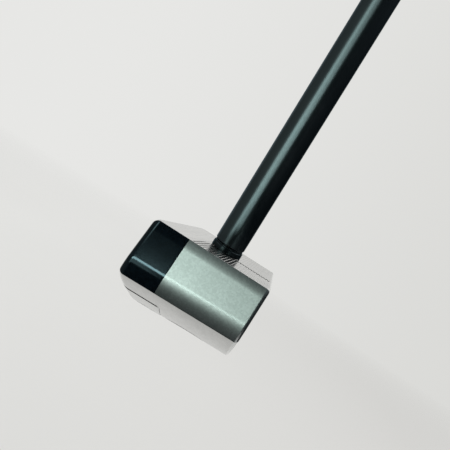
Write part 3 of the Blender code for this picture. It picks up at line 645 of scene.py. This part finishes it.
def plate_tool(grow):
    """A band that follows the sole's curve, from ahead of the face to its own rounded back corners."""
    half = PLATE_HALF + grow
    back = PLATE_BACK_X + grow
    corner = PLATE_CORNER + grow
    bend = []
    for k in range(PLATE_CORNER_STEPS + 1):
        angle = math.pi / 2 * k / PLATE_CORNER_STEPS
        bend.append((half - corner * (1 - math.cos(angle)), back - corner * (1 - math.sin(angle))))
    end = half - corner
    straight = [(end - end * 2 * k / PLATE_STEPS, back) for k in range(1, PLATE_STEPS)]
    form = bmesh.new()
    strips = []
    for y, x_back in [*bend, *straight, *((-y, x) for y, x in reversed(bend))]:
        strip = []
        for inset in (-TOOL_OUTSIDE, PLATE_THICKNESS + grow):
            for x in (-HEAD_DEPTH, x_back):
                strip.append(form.verts.new((x, y, sole_z(y, inset) + x * math.tan(SOLE_RISE))))
        strips.append(strip)
    for one, two in zip(strips, strips[1:]):
        for a, b in ((0, 1), (1, 3), (3, 2), (2, 0)):
            form.faces.new((one[a], one[b], two[b], two[a]))
    for strip in (strips[0], strips[-1]):
        form.faces.new((strip[0], strip[1], strip[3], strip[2]))
    return solid("plate_tool", facing_out(form))


def on_the_sole(x, y):
    """A place on the sole, with +Z square into the head."""
    slope = math.asin(y / SOLE_RADIUS)
    spot = Vector((x, y, sole_z(y) + x * math.tan(SOLE_RISE)))
    return Matrix.Translation(spot) @ Matrix.Rotation(-SOLE_RISE, 4, "Y") @ Matrix.Rotation(slope, 4, "X")


form = head_form()
for x in (PROUD_END_X - PROUD_TO_BACK, PROUD_END_X):
    everything = [*form.verts, *form.edges, *form.faces]
    bmesh.ops.bisect_plane(form, geom=everything, plane_co=(x, 0, 0), plane_no=(1, 0, 0))
for vertex in form.verts:
    run_in = (vertex.co.x - FACE_X) / PROUD_FROM_FACE
    run_out = (PROUD_END_X - vertex.co.x) / PROUD_TO_BACK
    vertex.co.z -= PLATE_PROUD * clamped(min(run_in, run_out))
sole_plate = solid("steel_sole_plate", form)
for face in sole_plate.data.polygons:
    face.material_index = GROUND
coated(sole_plate, sole_steel, paint_and_painted_shade)
band = plate_tool(0)
# Painted shade: the plate's end faces take the dark finish, standing in for the shade in the gap at its
# ends.
for face in band.data.polygons:
    face.material_index = PAINTED_SHADE_END if abs(face.normal.y) > 0.5 else GROUND
worked(sole_plate, band, operation="INTERSECT")
# Painted shade: the pocket walls round the sole plate take the dark finish, standing in for the shade in
# the gap.
for block in (face_block, rear_body):
    worked(block, plate_tool(PLATE_LINE), cut_finish=PAINT_AND_PAINTED_SHADE)

hole = stepped((PLATE_SCREW_SHANK + GAP, PLATE_SCREW_TIP + GAP, PLATE_SCREW_NECK),
               (COUNTERSINK, PLATE_SCREW_TOP, -TOOL_OUTSIDE))
profile = [(0, PLATE_SCREW_TIP), (PLATE_SCREW_SHANK - PLATE_SCREW_POINT, PLATE_SCREW_TIP),
           (PLATE_SCREW_SHANK, PLATE_SCREW_TIP - PLATE_SCREW_POINT), (PLATE_SCREW_SHANK, PLATE_SCREW_NECK),
           (PLATE_SCREW_HEAD, PLATE_SCREW_TOP + 0.00006), (PLATE_SCREW_HEAD - 0.00002, PLATE_SCREW_TOP),
           (0, PLATE_SCREW_TOP)]
for end, side in ENDS.items():
    place = on_the_sole(PLATE_SCREW_X, side * (HALF_LENGTH - PLATE_SCREW_INSET))
    worked(sole_plate, turned("hole", hole, 64, place))
    worked(face_block, turned("hole", hole, 64, place), cut_finish=MILLED)
    screw = turned(end + "_plate_screw_black", profile, 72, place)
    key_end = PLATE_SCREW_TOP + PLATE_SCREW_KEY_DEPTH
    worked(screw, plate_of("key", hexagon(PLATE_SCREW_KEY), -KEY_OUTSIDE, key_end, place))
    coated(screw, black_oxide)
    dressed(screw, end + "_plate_screw", crease=35)
dressed(face_block, "face_block", crease=24)
dressed(sole_plate, "sole_plate", crease=24)

# Sole weights. Turned steel slugs screwed into ports in the rear body, each over a rubber ring,
# with a hexagon socket and a fine ring cut in the rim by the lathe.

WEIGHT_X = 0.0025
WEIGHT_INSET = 0.032
WEIGHT_FACE = 0.0009
WEIGHT_UNDER = 0.0029
WEIGHT_TIP = 0.0085
WEIGHT_RIM = 0.0055
WEIGHT_STEM = 0.0043
WEIGHT_EDGE = 0.0004
WEIGHT_KEY = 0.004
WEIGHT_KEY_DEPTH = 0.0022
RING_RADIUS = 0.00405
RING_DEPTH = 0.0001
SEAL_THICKNESS = 0.0009
PORT_EDGE = 0.0005
PORT_BREAK = 0.0006

turned_steel = Finish("turned_weight_steel", metallic=1, roughness=0.28)
turning = tuned(turned_steel.tree.nodes.new("ShaderNodeTexWave"), Scale=2600, Distortion=0.6)
turning.wave_type = "RINGS"
turning.rings_direction = "Z"
turned_steel.link(turned_steel.place, turning.inputs["Vector"])
touched = turned_steel.effect(HANDLING, Per_Metre=120)
turned_steel.colour(touched["Smears"], (0.40, 0.40, 0.40), (0.52, 0.52, 0.51))
turned_steel.rough(turning.outputs["Fac"], 0.24, 0.34, low=0, high=1)
turned_steel.relief(turning.outputs["Fac"], 0.00001, 0.3)

seal_rubber = Finish("seal_rubber", metallic=0, roughness=0.6)
grain = seal_rubber.effect(BLAST_GRAIN, Per_Metre=2500)
seal_rubber.colour(grain["Cloud"], (0.012, 0.012, 0.012), (0.03, 0.03, 0.03))
seal_rubber.rough(grain["Cloud"], 0.5, 0.72)
seal_rubber.relief(grain["Dents"], 0.00003, 0.2)

port_shelf = WEIGHT_UNDER + SEAL_THICKNESS + 2 * GAP
port_mouth = WEIGHT_RIM + GAP + PORT_BREAK
port = stepped((WEIGHT_STEM + GAP, WEIGHT_TIP + GAP, port_shelf), (WEIGHT_RIM + GAP, port_shelf, PORT_EDGE),
               (port_mouth, PORT_EDGE - PORT_BREAK, -TOOL_OUTSIDE))
fine_ring = [(RING_RADIUS + 0.00015, WEIGHT_FACE), (RING_RADIUS + 0.00007, WEIGHT_FACE + RING_DEPTH),
             (RING_RADIUS - 0.00007, WEIGHT_FACE + RING_DEPTH), (RING_RADIUS - 0.00015, WEIGHT_FACE)]
profile = [(0, WEIGHT_TIP), (WEIGHT_STEM - WEIGHT_EDGE, WEIGHT_TIP),
           (WEIGHT_STEM, WEIGHT_TIP - WEIGHT_EDGE), (WEIGHT_STEM, WEIGHT_UNDER),
           (WEIGHT_RIM, WEIGHT_UNDER), (WEIGHT_RIM, WEIGHT_FACE + WEIGHT_EDGE),
           (WEIGHT_RIM - 0.3 * WEIGHT_EDGE, WEIGHT_FACE + 0.3 * WEIGHT_EDGE),
           (WEIGHT_RIM - WEIGHT_EDGE, WEIGHT_FACE), *fine_ring, (0, WEIGHT_FACE)]
for end, side in ENDS.items():
    place = on_the_sole(WEIGHT_X, side * (HALF_LENGTH - WEIGHT_INSET))
    # Painted shade: the port walls round each weight take the dark finish, standing in for the shade in the
    # port.
    worked(rear_body, turned("port", port, 96, place), cut_finish=PAINT_AND_PAINTED_SHADE)
    weight = turned(end + "_turned_weight", profile, 96, place)
    key_end = WEIGHT_FACE + WEIGHT_KEY_DEPTH
    worked(weight, plate_of("key", hexagon(WEIGHT_KEY), -KEY_OUTSIDE, key_end, place))
    coated(weight, turned_steel)
    dressed(weight, end + "_weight", crease=30)
    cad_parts[end + "_weight_seal"].data.materials[0] = seal_rubber.material

# Shaft post and collar. A ground steel post stands in a bore of the rear body at the lie angle,
# and a short black collar slides over it and hides the shaft's lower edge.

SHAFT_X = FACE_X + 0.0164
SHAFT_Y = -0.0122
TIP_RADIUS = 0.0047
LEAN = math.radians(10.2)
ON_SHAFT = Matrix.Translation((SHAFT_X, SHAFT_Y, CROWN_Z)) @ Matrix.Rotation(LEAN, 4, "X")
BORE_RADIUS = 0.0038
BORE_DEPTH = 0.0153
COLLAR_RADIUS = 0.0048
COLLAR_NECK = 0.0045
COLLAR_TOP = 0.0026
COLLAR_SHOULDER = 0.0021
COLLAR_WALL_TOP = 0.00183
COLLAR_FOOT = -0.0015
OVER_CROWN = 0.00005
TRIM_OUTLINE = ((-0.01, -0.022), (0.01, -0.022), (0.01, 0), (-0.01, 0))
TRIM_DEPTH = 0.005

bore = stepped((BORE_RADIUS, TOOL_OUTSIDE, -BORE_DEPTH))
worked(rear_body, turned("post_bore", bore, 64, ON_SHAFT), cut_finish=MILLED)
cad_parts["shaft_post"].data.materials[0] = ground.material


def polished_round(coating):
    """Polishing in the lathe leaves marks round the piece, which draw its shine out lengthwise."""
    marks = coating.tree.nodes.new("ShaderNodeTangent")
    marks.direction_type = "RADIAL"
    marks.axis = "Z"
    coating.link(marks.outputs[0], coating.shader.inputs["Tangent"])
    tuned(coating.shader, Anisotropic=0.6, Anisotropic_Rotation=0.25)
    tuned(coating.shader, Specular_Tint=(0.3, 0.33, 0.35, 1))


collar_black = Finish("collar_black", metallic=1, roughness=0.3)
polished_round(collar_black)
touched = collar_black.effect(HANDLING, Per_Metre=160)
tone = collar_black.colour(touched["Smears"], (0.08, 0.10, 0.108), (0.11, 0.135, 0.145))
collar_black.dusty(touched, tone, (0.16, 0.18, 0.19))
collar_black.rough(touched["Smears"], 0.25, 0.36)
collar_black.relief(touched["Smears"], 0.00004, 0.15)

profile = [(BORE_RADIUS, COLLAR_TOP), (COLLAR_NECK - 0.0001, COLLAR_TOP),
           (COLLAR_NECK, COLLAR_TOP - 0.0001), (COLLAR_NECK, COLLAR_SHOULDER),
           (0.00458, COLLAR_SHOULDER), (0.00468, COLLAR_SHOULDER - 0.00005),
           (0.00477, COLLAR_SHOULDER - 0.00015), (COLLAR_RADIUS, COLLAR_WALL_TOP),
           (COLLAR_RADIUS, COLLAR_FOOT), (BORE_RADIUS, COLLAR_FOOT)]
collar = turned("black_shaft_collar", profile, 128, ON_SHAFT, ring=True)
worked(collar, plate_of("crown_side", TRIM_OUTLINE, CROWN_Z - TRIM_DEPTH, CROWN_Z + OVER_CROWN))
coated(collar, collar_black)
dressed(collar, "shaft_collar", crease=35)

# Crown grooves and sight line. With the body drilled and bored, the crown is cut with a row of
# fine cross grooves, then one shallow slot from the shaft to the back edge to aim by.

GROOVE_PITCH = 0.0009
GROOVE_HEEL_Y = 0.0012 - HALF_LENGTH
GROOVE_TOE_Y = 0.06
GROOVE_LAST_X = BACK_X - CROWN_BACK_EDGE - 0.0007
GROOVE_WIDTH = 0.0005
GROOVE_DEPTH = 0.00013
GROOVE_WALL = 0.000075
SIGHT_Y = 0.0366 - HALF_LENGTH
SIGHT_HALF_WIDTH = 0.0015
SIGHT_START_X = SHAFT_X + TIP_RADIUS
SIGHT_END_X = BACK_X - CROWN_BACK_EDGE - 0.0005
SIGHT_DEPTH = 0.0003


def crown_cutter():
    """The grooves of the crown as one tool: long wedges side by side, one for each pass."""
    half = GROOVE_WIDTH / 2
    profile = [(-half - GROOVE_WALL, CROWN_Z + GROOVE_DEPTH), (-half, CROWN_Z),
               (-half + GROOVE_WALL, CROWN_Z - GROOVE_DEPTH), (half - GROOVE_WALL, CROWN_Z - GROOVE_DEPTH),
               (half, CROWN_Z), (half + GROOVE_WALL, CROWN_Z + GROOVE_DEPTH)]
    form = bmesh.new()
    x = SEAM_X + GROOVE_PITCH
    while x < GROOVE_LAST_X:
        ends = [[(x + across, y, up) for across, up in profile] for y in (GROOVE_HEEL_Y, GROOVE_TOE_Y)]
        bar(form, *ends)
        x += GROOVE_PITCH
    return solid("crown_cutter", facing_out(form))


worked(rear_body, crown_cutter(), cut_finish=MILLED)
corners = ((SIGHT_START_X, -1), (SIGHT_END_X, -1), (SIGHT_END_X, 1), (SIGHT_START_X, 1))
slot_outline = [(x, SIGHT_Y + side * SIGHT_HALF_WIDTH) for x, side in corners]
worked(rear_body, plate_of("sight_slot", slot_outline, CROWN_Z - SIGHT_DEPTH, CROWN_Z + KEY_OUTSIDE),
       cut_finish=PAINT_AND_PAINTED_SHADE)
dressed(rear_body, "rear_body", crease=24)

# Shaft. A steel tube drawn down to a parallel tip, coated glossy black, with a few fine turned
# rings at its lower end. A cork plug inside keeps glue out of the tube.

BUTT_S = 0.8376
SHAFT_TOP_S = BUTT_S - 0.0028
SHAFT_FOOT_S = 0.0029
TAPER_START_S = 0.130
TAPER_END_S = 0.550
BUTT_RADIUS = 0.00735
TUBE_WALL = 0.0009
OUTER_STEPS = 40
RINGS = 5
PLAIN_TUBE_S = 0.0075
TOP_RING_S = 0.0052
RING_PITCH = 0.00045
RING_CUT = 0.000012
FOOT_EDGE = ((0, 0.00315), (0.00006, 0.003), (0.00025, SHAFT_FOOT_S))

shaft_black = Finish("black_shaft_coating", metallic=1, roughness=0.33)
polished_round(shaft_black)
touched = shaft_black.effect(HANDLING, Per_Metre=70)
tone = shaft_black.colour(touched["Smears"], (0.17, 0.205, 0.22), (0.195, 0.23, 0.245))
shaft_black.dusty(touched, tone, (0.14, 0.17, 0.18))
shaft_black.rough(touched["Smears"], 0.31, 0.35)
peel = shaft_black.effect(BLAST_GRAIN, Per_Metre=700)
shaft_black.relief(peel["Dents"], 0.00003, 0.1)


def shaft_radius(s):
    share = clamped((s - TAPER_START_S) / (TAPER_END_S - TAPER_START_S))
    return TIP_RADIUS + (BUTT_RADIUS - TIP_RADIUS) * share


outer = []
for k in range(OUTER_STEPS + 1):
    s = SHAFT_TOP_S + (PLAIN_TUBE_S - SHAFT_TOP_S) * k / OUTER_STEPS
    outer.append((shaft_radius(s), s))
for ring in range(RINGS):
    s = TOP_RING_S - RING_PITCH * ring
    for rise, depth in ((0.00012, 0), (0.00004, RING_CUT), (-0.00004, RING_CUT), (-0.00012, 0)):
        outer.append((TIP_RADIUS - depth, s + rise))
outer += [(TIP_RADIUS - inset, s) for inset, s in FOOT_EDGE]
bends = (SHAFT_FOOT_S, TAPER_START_S, (TAPER_START_S + TAPER_END_S) / 2, TAPER_END_S, SHAFT_TOP_S)
inner = [(shaft_radius(s) - TUBE_WALL, s) for s in bends]
shaft = turned("black_shaft_tube", outer + inner, 96, ON_SHAFT, ring=True)
coated(shaft, shaft_black)
dressed(shaft, "shaft", crease=35)

cork = Finish("plug_cork", metallic=0, roughness=0.85)
grain = cork.effect(BLAST_GRAIN, Per_Metre=1500)
cork.colour(grain["Specks"], (0.22, 0.11, 0.05), (0.50, 0.32, 0.18), low=0.1, high=0.9)
cork.rough(grain["Cloud"], 0.75, 0.95)
cork.relief(grain["Dents"], 0.0001, 0.4)
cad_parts["shaft_tip_plug"].data.materials[0] = cork.material

# Grip tape and grip. Two-sided paper tape is wound on the shaft, and a moulded rubber sleeve with
# a thumb flat towards the toe is pushed over it. Cross ribs on its sides keep the hands dry.

TAPE_THICKNESS = 0.0004
GRIP_BORE = BUTT_RADIUS + GAP + TAPE_THICKNESS + GAP
GRIP_START_S = BUTT_S - 0.270
MOUTH = 0.012
MOUTH_WALL = 0.0012
GRIP_FOOT = 0.0215
GRIP_WIDTH = 0.0290
GRIP_DEPTH = 0.0270
FLAT_AT_FOOT = 0.0098
FLAT_AT_BUTT = 0.0105
PRESSED_FLAT = 0.92
SPREAD = 1 / 3
BUTT_ROLL = 0.002
BUTT_INSET = 0.001
CAP_SEAT_RADIUS = 0.0088
CAP_SEAT_S = BUTT_S - 0.0025
RIBS_FROM_S = GRIP_START_S + 0.030
RIBS_TO_S = BUTT_S - 0.022
RIB_PITCH = 0.0046
RIB_DEPTH = 0.00045
RIB_HALF_WIDTH = 0.00075
RIB_WALL = 0.0004
RIB_SLANT = 0.004
RIB_FADE = 0.002
PANEL_START = 0.95
PANEL_END = 2.75
PANEL_FADE = 0.12
AROUND = 112
MOUTH_STEPS = 14
SLEEVE_STEPS = 440
BUTT_STEPS = 6

paper = Finish("grip_tape_paper", metallic=0, roughness=0.9)
lines = paper.effect(TOOL_LINES, Stretch=(1500, 1500, 200))
paper.colour(lines["Lines"], (0.62, 0.58, 0.47), (0.78, 0.74, 0.63))
paper.rough(lines["Bands"], 0.82, 0.96)
paper.relief(lines["Lines"], 0.00005, 0.3)
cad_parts["grip_tape"].data.materials[0] = paper.material

rubber = Finish("grip_rubber", metallic=0, roughness=0.75, specular=0.35)
grain = rubber.effect(BLAST_GRAIN, Per_Metre=1400)
touched = rubber.effect(HANDLING, Per_Metre=25)
tone = rubber.colour(touched["Smears"], (0.010, 0.010, 0.011), (0.022, 0.022, 0.023), low=0.35)
rubber.dusty(touched, tone, (0.06, 0.06, 0.06))
rubber.rough(touched["Smears"], 0.66, 0.85)
rubber.relief(grain["Dents"], 0.0001, 0.25)


def rib_depth(angle, s):
    """How deep the moulded pattern is: cross grooves on both sides, none on the thumb flat."""
    from_flat = abs((angle - math.pi / 2 + math.pi) % (2 * math.pi) - math.pi)
    side_panel = clamped((from_flat - PANEL_START) / PANEL_FADE)
    side_panel *= clamped((PANEL_END - from_flat) / PANEL_FADE)
    if not RIBS_FROM_S < s < RIBS_TO_S or side_panel == 0:
        return 0
    slant = RIB_SLANT * abs(from_flat - (PANEL_START + PANEL_END) / 2)
    place = (s - RIBS_FROM_S + slant) / RIB_PITCH
    across = abs(place - math.floor(place) - 0.5) * RIB_PITCH
    end = min((s - RIBS_FROM_S) / RIB_FADE, (RIBS_TO_S - s) / RIB_FADE, 1)
    return growing(0, RIB_DEPTH, (RIB_HALF_WIDTH - across) / RIB_WALL) * side_panel * end


def grip_section(width, depth, flat, s, ribs=True):
    """One ring round the sleeve; what would stand above the thumb flat is pressed down to it."""
    points = []
    for k in range(AROUND):
        angle = 2 * math.pi * k / AROUND
        sunk = rib_depth(angle, s) if ribs else 0
        x = (width / 2 - sunk) * math.cos(angle)
        y = (depth / 2 - sunk) * math.sin(angle)
        past = max(y - flat, 0)
        points.append((x * (1 + past / depth * SPREAD), y - past * PRESSED_FLAT, s))
    return points


def grip_sleeve():
    rings = []
    lip = 2 * (GRIP_BORE + MOUTH_WALL)
    for k in range(MOUTH_STEPS + 1):
        share = k / MOUTH_STEPS
        width = lip + (GRIP_FOOT - lip) * math.sin(share * math.pi / 2)
        flat = width / 2 + (FLAT_AT_FOOT - GRIP_FOOT / 2) * share
        rings.append(grip_section(width, width, flat, GRIP_START_S + MOUTH * share, ribs=False))
    upper = GRIP_START_S + MOUTH
    for k in range(1, SLEEVE_STEPS + 1):
        share = k / SLEEVE_STEPS
        width = growing(GRIP_FOOT, GRIP_WIDTH, share)
        depth = growing(GRIP_FOOT, GRIP_DEPTH, share)
        flat = growing(FLAT_AT_FOOT, FLAT_AT_BUTT, share)
        rings.append(grip_section(width, depth, flat, upper + (BUTT_S - BUTT_ROLL - upper) * share))
    for k in range(1, BUTT_STEPS + 1):
        angle = math.pi / 2 * k / BUTT_STEPS
        inset = BUTT_INSET * (1 - math.cos(angle))
        rings.append(grip_section(GRIP_WIDTH - 2 * inset, GRIP_DEPTH - 2 * inset, FLAT_AT_BUTT - inset,
                                  BUTT_S - BUTT_ROLL + BUTT_ROLL * math.sin(angle), ribs=False))
    for radius, s in ((CAP_SEAT_RADIUS + 0.0001, BUTT_S), (CAP_SEAT_RADIUS, BUTT_S - 0.0002),
                      (CAP_SEAT_RADIUS, CAP_SEAT_S), (GRIP_BORE, CAP_SEAT_S), (GRIP_BORE, GRIP_START_S),
                      (GRIP_BORE + 0.0008, GRIP_START_S - 0.0002)):
        rings.append([(x, y, s) for x, y in circle(radius, AROUND)])
    form = bmesh.new()
    loops = [[form.verts.new(spot) for spot in ring] for ring in rings]
    for low, high in zip(loops, loops[1:] + loops[:1]):
        for k in range(AROUND):
            form.faces.new((low[k - 1], low[k], high[k], high[k - 1]))
    return facing_out(form)


grip = solid("ribbed_rubber_grip", grip_sleeve(), ON_SHAFT)
coated(grip, rubber)
dressed(grip, "grip", crease=50)

# Grip cap. A moulded plastic plug pushed into the butt, with a small vent hole that lets the air
# out while the grip goes on, and a shallow ring round it.

CAP_UNDER = -0.0022
CAP_TIP = CAP_UNDER - 0.012
VENT_RADIUS = 0.0012
CAP_STEM = 0.00625
CAP_EDGE = 0.0085

plastic = Finish("cap_plastic", metallic=0, roughness=0.45)
grain = plastic.effect(BLAST_GRAIN, Per_Metre=2600)
touched = plastic.effect(HANDLING, Per_Metre=90)
tone = plastic.colour(touched["Smears"], (0.012, 0.012, 0.013), (0.022, 0.022, 0.023))
plastic.dusty(touched, tone, (0.07, 0.07, 0.07))
plastic.rough(touched["Smears"], 0.38, 0.55)
plastic.relief(grain["Dents"], 0.00003, 0.25)

outline = [(VENT_RADIUS, 0.0005), (VENT_RADIUS + 0.00015, 0.0006), (0.0040, 0.00048), (0.0042, 0.00025),
           (0.0045, 0.00025), (0.0047, 0.0004), (0.0060, 0.0003), (0.0072, 0), (0.0080, -0.0003),
           (0.0084, -0.0006), (CAP_EDGE, -0.0009), (CAP_EDGE, CAP_UNDER), (CAP_STEM, CAP_UNDER),
           (CAP_STEM, CAP_TIP + 0.001), (0.0059, CAP_TIP), (VENT_RADIUS, CAP_TIP)]
profile = [(radius, BUTT_S + above_butt) for radius, above_butt in outline]
cap = turned("vented_grip_cap", profile, 96, ON_SHAFT, ring=True)
coated(cap, plastic)
dressed(cap, "grip_cap", crease=32)

# Floor, background and lamps. The club hangs over a pale floor in front of a pale backdrop. Three
# soft lamps stand behind the camera, one hangs overhead, and one lies low at the club's back.

FLOOR_MIDDLE = (0, 0.2, -0.12)
FLOOR_RADII = (0.3, 0.7, 1.2, 1.8, 2.4)
FLOOR_STEPS = 64
FLOOR_FADE = (0.5, 2.3)

form = bmesh.new()
middle = form.verts.new(FLOOR_MIDDLE)
rings = []
for radius in FLOOR_RADII:
    spots = circle(radius, FLOOR_STEPS)
    rings.append([form.verts.new((x, FLOOR_MIDDLE[1] + y, FLOOR_MIDDLE[2])) for x, y in spots])
for k in range(FLOOR_STEPS):
    form.faces.new((middle, rings[0][k - 1], rings[0][k]))
    for low, high in zip(rings, rings[1:]):
        form.faces.new((low[k - 1], high[k - 1], high[k], low[k]))
floor = solid("pale_floor", form)
pale = Finish("pale_floor", metallic=0, roughness=0.9, specular=0)
away = pale.tree.nodes.new("ShaderNodeVectorMath")
away.operation = "DISTANCE"
away.inputs[1].default_value = FLOOR_MIDDLE
pale.link(pale.place, away.inputs[0])
touched = pale.effect(HANDLING, Per_Metre=3)
across = pale.tree.nodes.new("ShaderNodeSeparateXYZ")
pale.link(pale.place, across.inputs[0])
tone = pale.colour(touched["Smears"], (0.66, 0.66, 0.645), (0.67, 0.67, 0.655))
# Painted shade: the floor is painted darker towards +X, standing in for shade on that side.
pale.colour(across.outputs["X"], tone, (0.56, 0.555, 0.54), low=-0.3, high=0.35)
faded = pale.limits(away.outputs["Value"], *FLOOR_FADE, 1, 0)
underside = pale.tree.nodes.new("ShaderNodeNewGeometry").outputs["Backfacing"]
seen_from_above = arithmetic(pale.tree, "SUBTRACT", faded, underside, clamp=True)
pale.link(seen_from_above, pale.shader.inputs["Alpha"])
coated(floor, pale)
floor.visible_glossy = False
floor.visible_shadow = False
floor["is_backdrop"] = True

# The metal mirrors a dim studio: a bright backdrop behind the club, paler walls high up round it,
# and darkness in between.
DARK_STUDIO = (0.003, 0.006, 0.008)

studio = bpy.data.worlds.new("studio")
bpy.context.scene.world = studio
studio.use_nodes = True
studio.cycles.sampling_method = "NONE"
tree = studio.node_tree
tree.nodes.clear()
heading = tree.nodes.new("ShaderNodeTexCoord").outputs["Generated"]
parts = tree.nodes.new("ShaderNodeSeparateXYZ")
tree.links.new(heading, parts.inputs[0])
to_right, to_back, upwards = parts.outputs


def rising(value, low, high):
    """Grows smoothly from 0 to 1 as a part of the heading goes from low to high."""
    node = tuned(tree.nodes.new("ShaderNodeMapRange"), From_Min=low, From_Max=high)
    node.interpolation_type = "SMOOTHSTEP"
    tree.links.new(value, node.inputs["Value"])
    return node.outputs[0]


def shine(colour):
    node = tree.nodes.new("ShaderNodeBackground")
    tree.links.new(colour, node.inputs["Color"])
    return node.outputs[0]


def either(factor, one, two):
    """Chooses between two backgrounds."""
    node = tree.nodes.new("ShaderNodeMixShader")
    for socket, given in zip(node.inputs, (factor, one, two)):
        tree.links.new(given, socket)
    return node.outputs[0]


backdrop = colour_mix(tree, rising(to_right, -0.35, 0.35), (0.80, 0.80, 0.785), (0.70, 0.70, 0.68))
dim = colour_mix(tree, rising(to_right, -0.7, 0.1), (0.092, 0.105, 0.10), DARK_STUDIO)
behind = colour_mix(tree, rising(to_right, 0.2, 0.6), backdrop, DARK_STUDIO)
level_with_club = colour_mix(tree, rising(to_back, 0.5, 0.85), dim, behind)
to_a_side = arithmetic(tree, "ABSOLUTE", to_right)
up_beside = arithmetic(tree, "MULTIPLY", rising(upwards, 0.22, 0.5), rising(to_a_side, 0.25, 0.5))
up_behind = arithmetic(tree, "MULTIPLY", rising(upwards, 0.4, 0.8), rising(to_back, -0.35, 0.1))
with_sides = colour_mix(tree, up_beside, level_with_club, (0.14, 0.165, 0.18))
mirrored = colour_mix(tree, up_behind, with_sides, (0.38, 0.39, 0.39))
dome = colour_mix(tree, rising(upwards, -0.3, 0.8), (0.75, 0.75, 0.74), (1.05, 1.05, 1.05))
ray = tree.nodes.new("ShaderNodeLightPath").outputs
by_reflection = arithmetic(tree, "MAXIMUM", ray["Is Glossy Ray"], ray["Is Transmission Ray"])
lighting = either(by_reflection, shine(dome), shine(mirrored))
picture = either(ray["Is Camera Ray"], lighting, shine(backdrop))
tree.links.new(picture, tree.nodes.new("ShaderNodeOutputWorld").inputs[0])

LAMP_AIM = Vector((0, -0.05, 0.015))
LAMP_TINT = (0.80, 1.0, 0.93)
WHITE = (1, 1, 1)


def soft_lamp(name, azimuth, elevation, distance, size, level, colour=LAMP_TINT):
    """A softbox that faces the head; the level is how bright its own face is."""
    lamp = bpy.data.lights.new(name, "AREA")
    lamp.shape = "RECTANGLE"
    lamp.size, lamp.size_y = size
    lamp.energy = 4 * level * size[0] * size[1]
    lamp.color = colour
    holder = bpy.data.objects.new(name, lamp)
    a, e = math.radians(azimuth), math.radians(elevation)
    away = Vector((math.sin(a) * math.cos(e), -math.cos(a) * math.cos(e), math.sin(e)))
    holder.location = LAMP_AIM + away * distance
    holder.rotation_mode = "QUATERNION"
    holder.rotation_quaternion = away.to_track_quat("Z", "Y")
    holder.visible_camera = False
    bpy.context.scene.collection.objects.link(holder)


soft_lamp("long_strip_lamp", azimuth=-18, elevation=-11.1, distance=1.15, size=(0.93, 0.12), level=4.7)
soft_lamp("low_softbox", azimuth=-24, elevation=-21, distance=1.15, size=(0.62, 0.22), level=0.6)
soft_lamp("side_window", azimuth=-29, elevation=12, distance=1.15, size=(0.38, 0.60), level=0.95)
soft_lamp("overhead", azimuth=150, elevation=65, distance=1.6, size=(1.2, 1.2), level=0.9, colour=WHITE)
soft_lamp("low_back_softbox", azimuth=88, elevation=-54, distance=1.3, size=(1.6, 0.5), level=0.5,
          colour=WHITE)

# Camera. It stands off the heel, a little higher than the crown, and is rolled as in the
# photograph. Its lens follows from the focal length in pixels that fits the head and shaft.

CAMERA_PLACE = (0.012147, -0.239316, 0.036426)
CAMERA_YAW = math.radians(4.163)
CAMERA_PITCH = math.radians(-0.928)
CAMERA_ROLL = math.radians(32.213)
FOCAL_PIXELS = 767.7
PICTURE_PIXELS = 450
SENSOR_WIDTH = 36

turn = Matrix.Rotation(CAMERA_YAW, 3, "Z") @ Matrix.Rotation(CAMERA_PITCH, 3, "X")
right, ahead, up = turn.col
image_right = right * math.cos(CAMERA_ROLL) + up * math.sin(CAMERA_ROLL)
image_down = right * math.sin(CAMERA_ROLL) - up * math.cos(CAMERA_ROLL)
camera = bpy.data.objects.new("camera", bpy.data.cameras.new("camera"))
stand = Matrix((image_right, -image_down, -ahead)).transposed().to_4x4()
stand.translation = CAMERA_PLACE
camera.matrix_world = stand
camera.data.sensor_width = SENSOR_WIDTH
camera.data.lens = FOCAL_PIXELS / PICTURE_PIXELS * SENSOR_WIDTH
camera.data.clip_start = 0.001
bpy.context.scene.collection.objects.link(camera)
bpy.context.scene.camera = camera
bpy.context.scene.view_settings.view_transform = "Standard"

low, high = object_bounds()
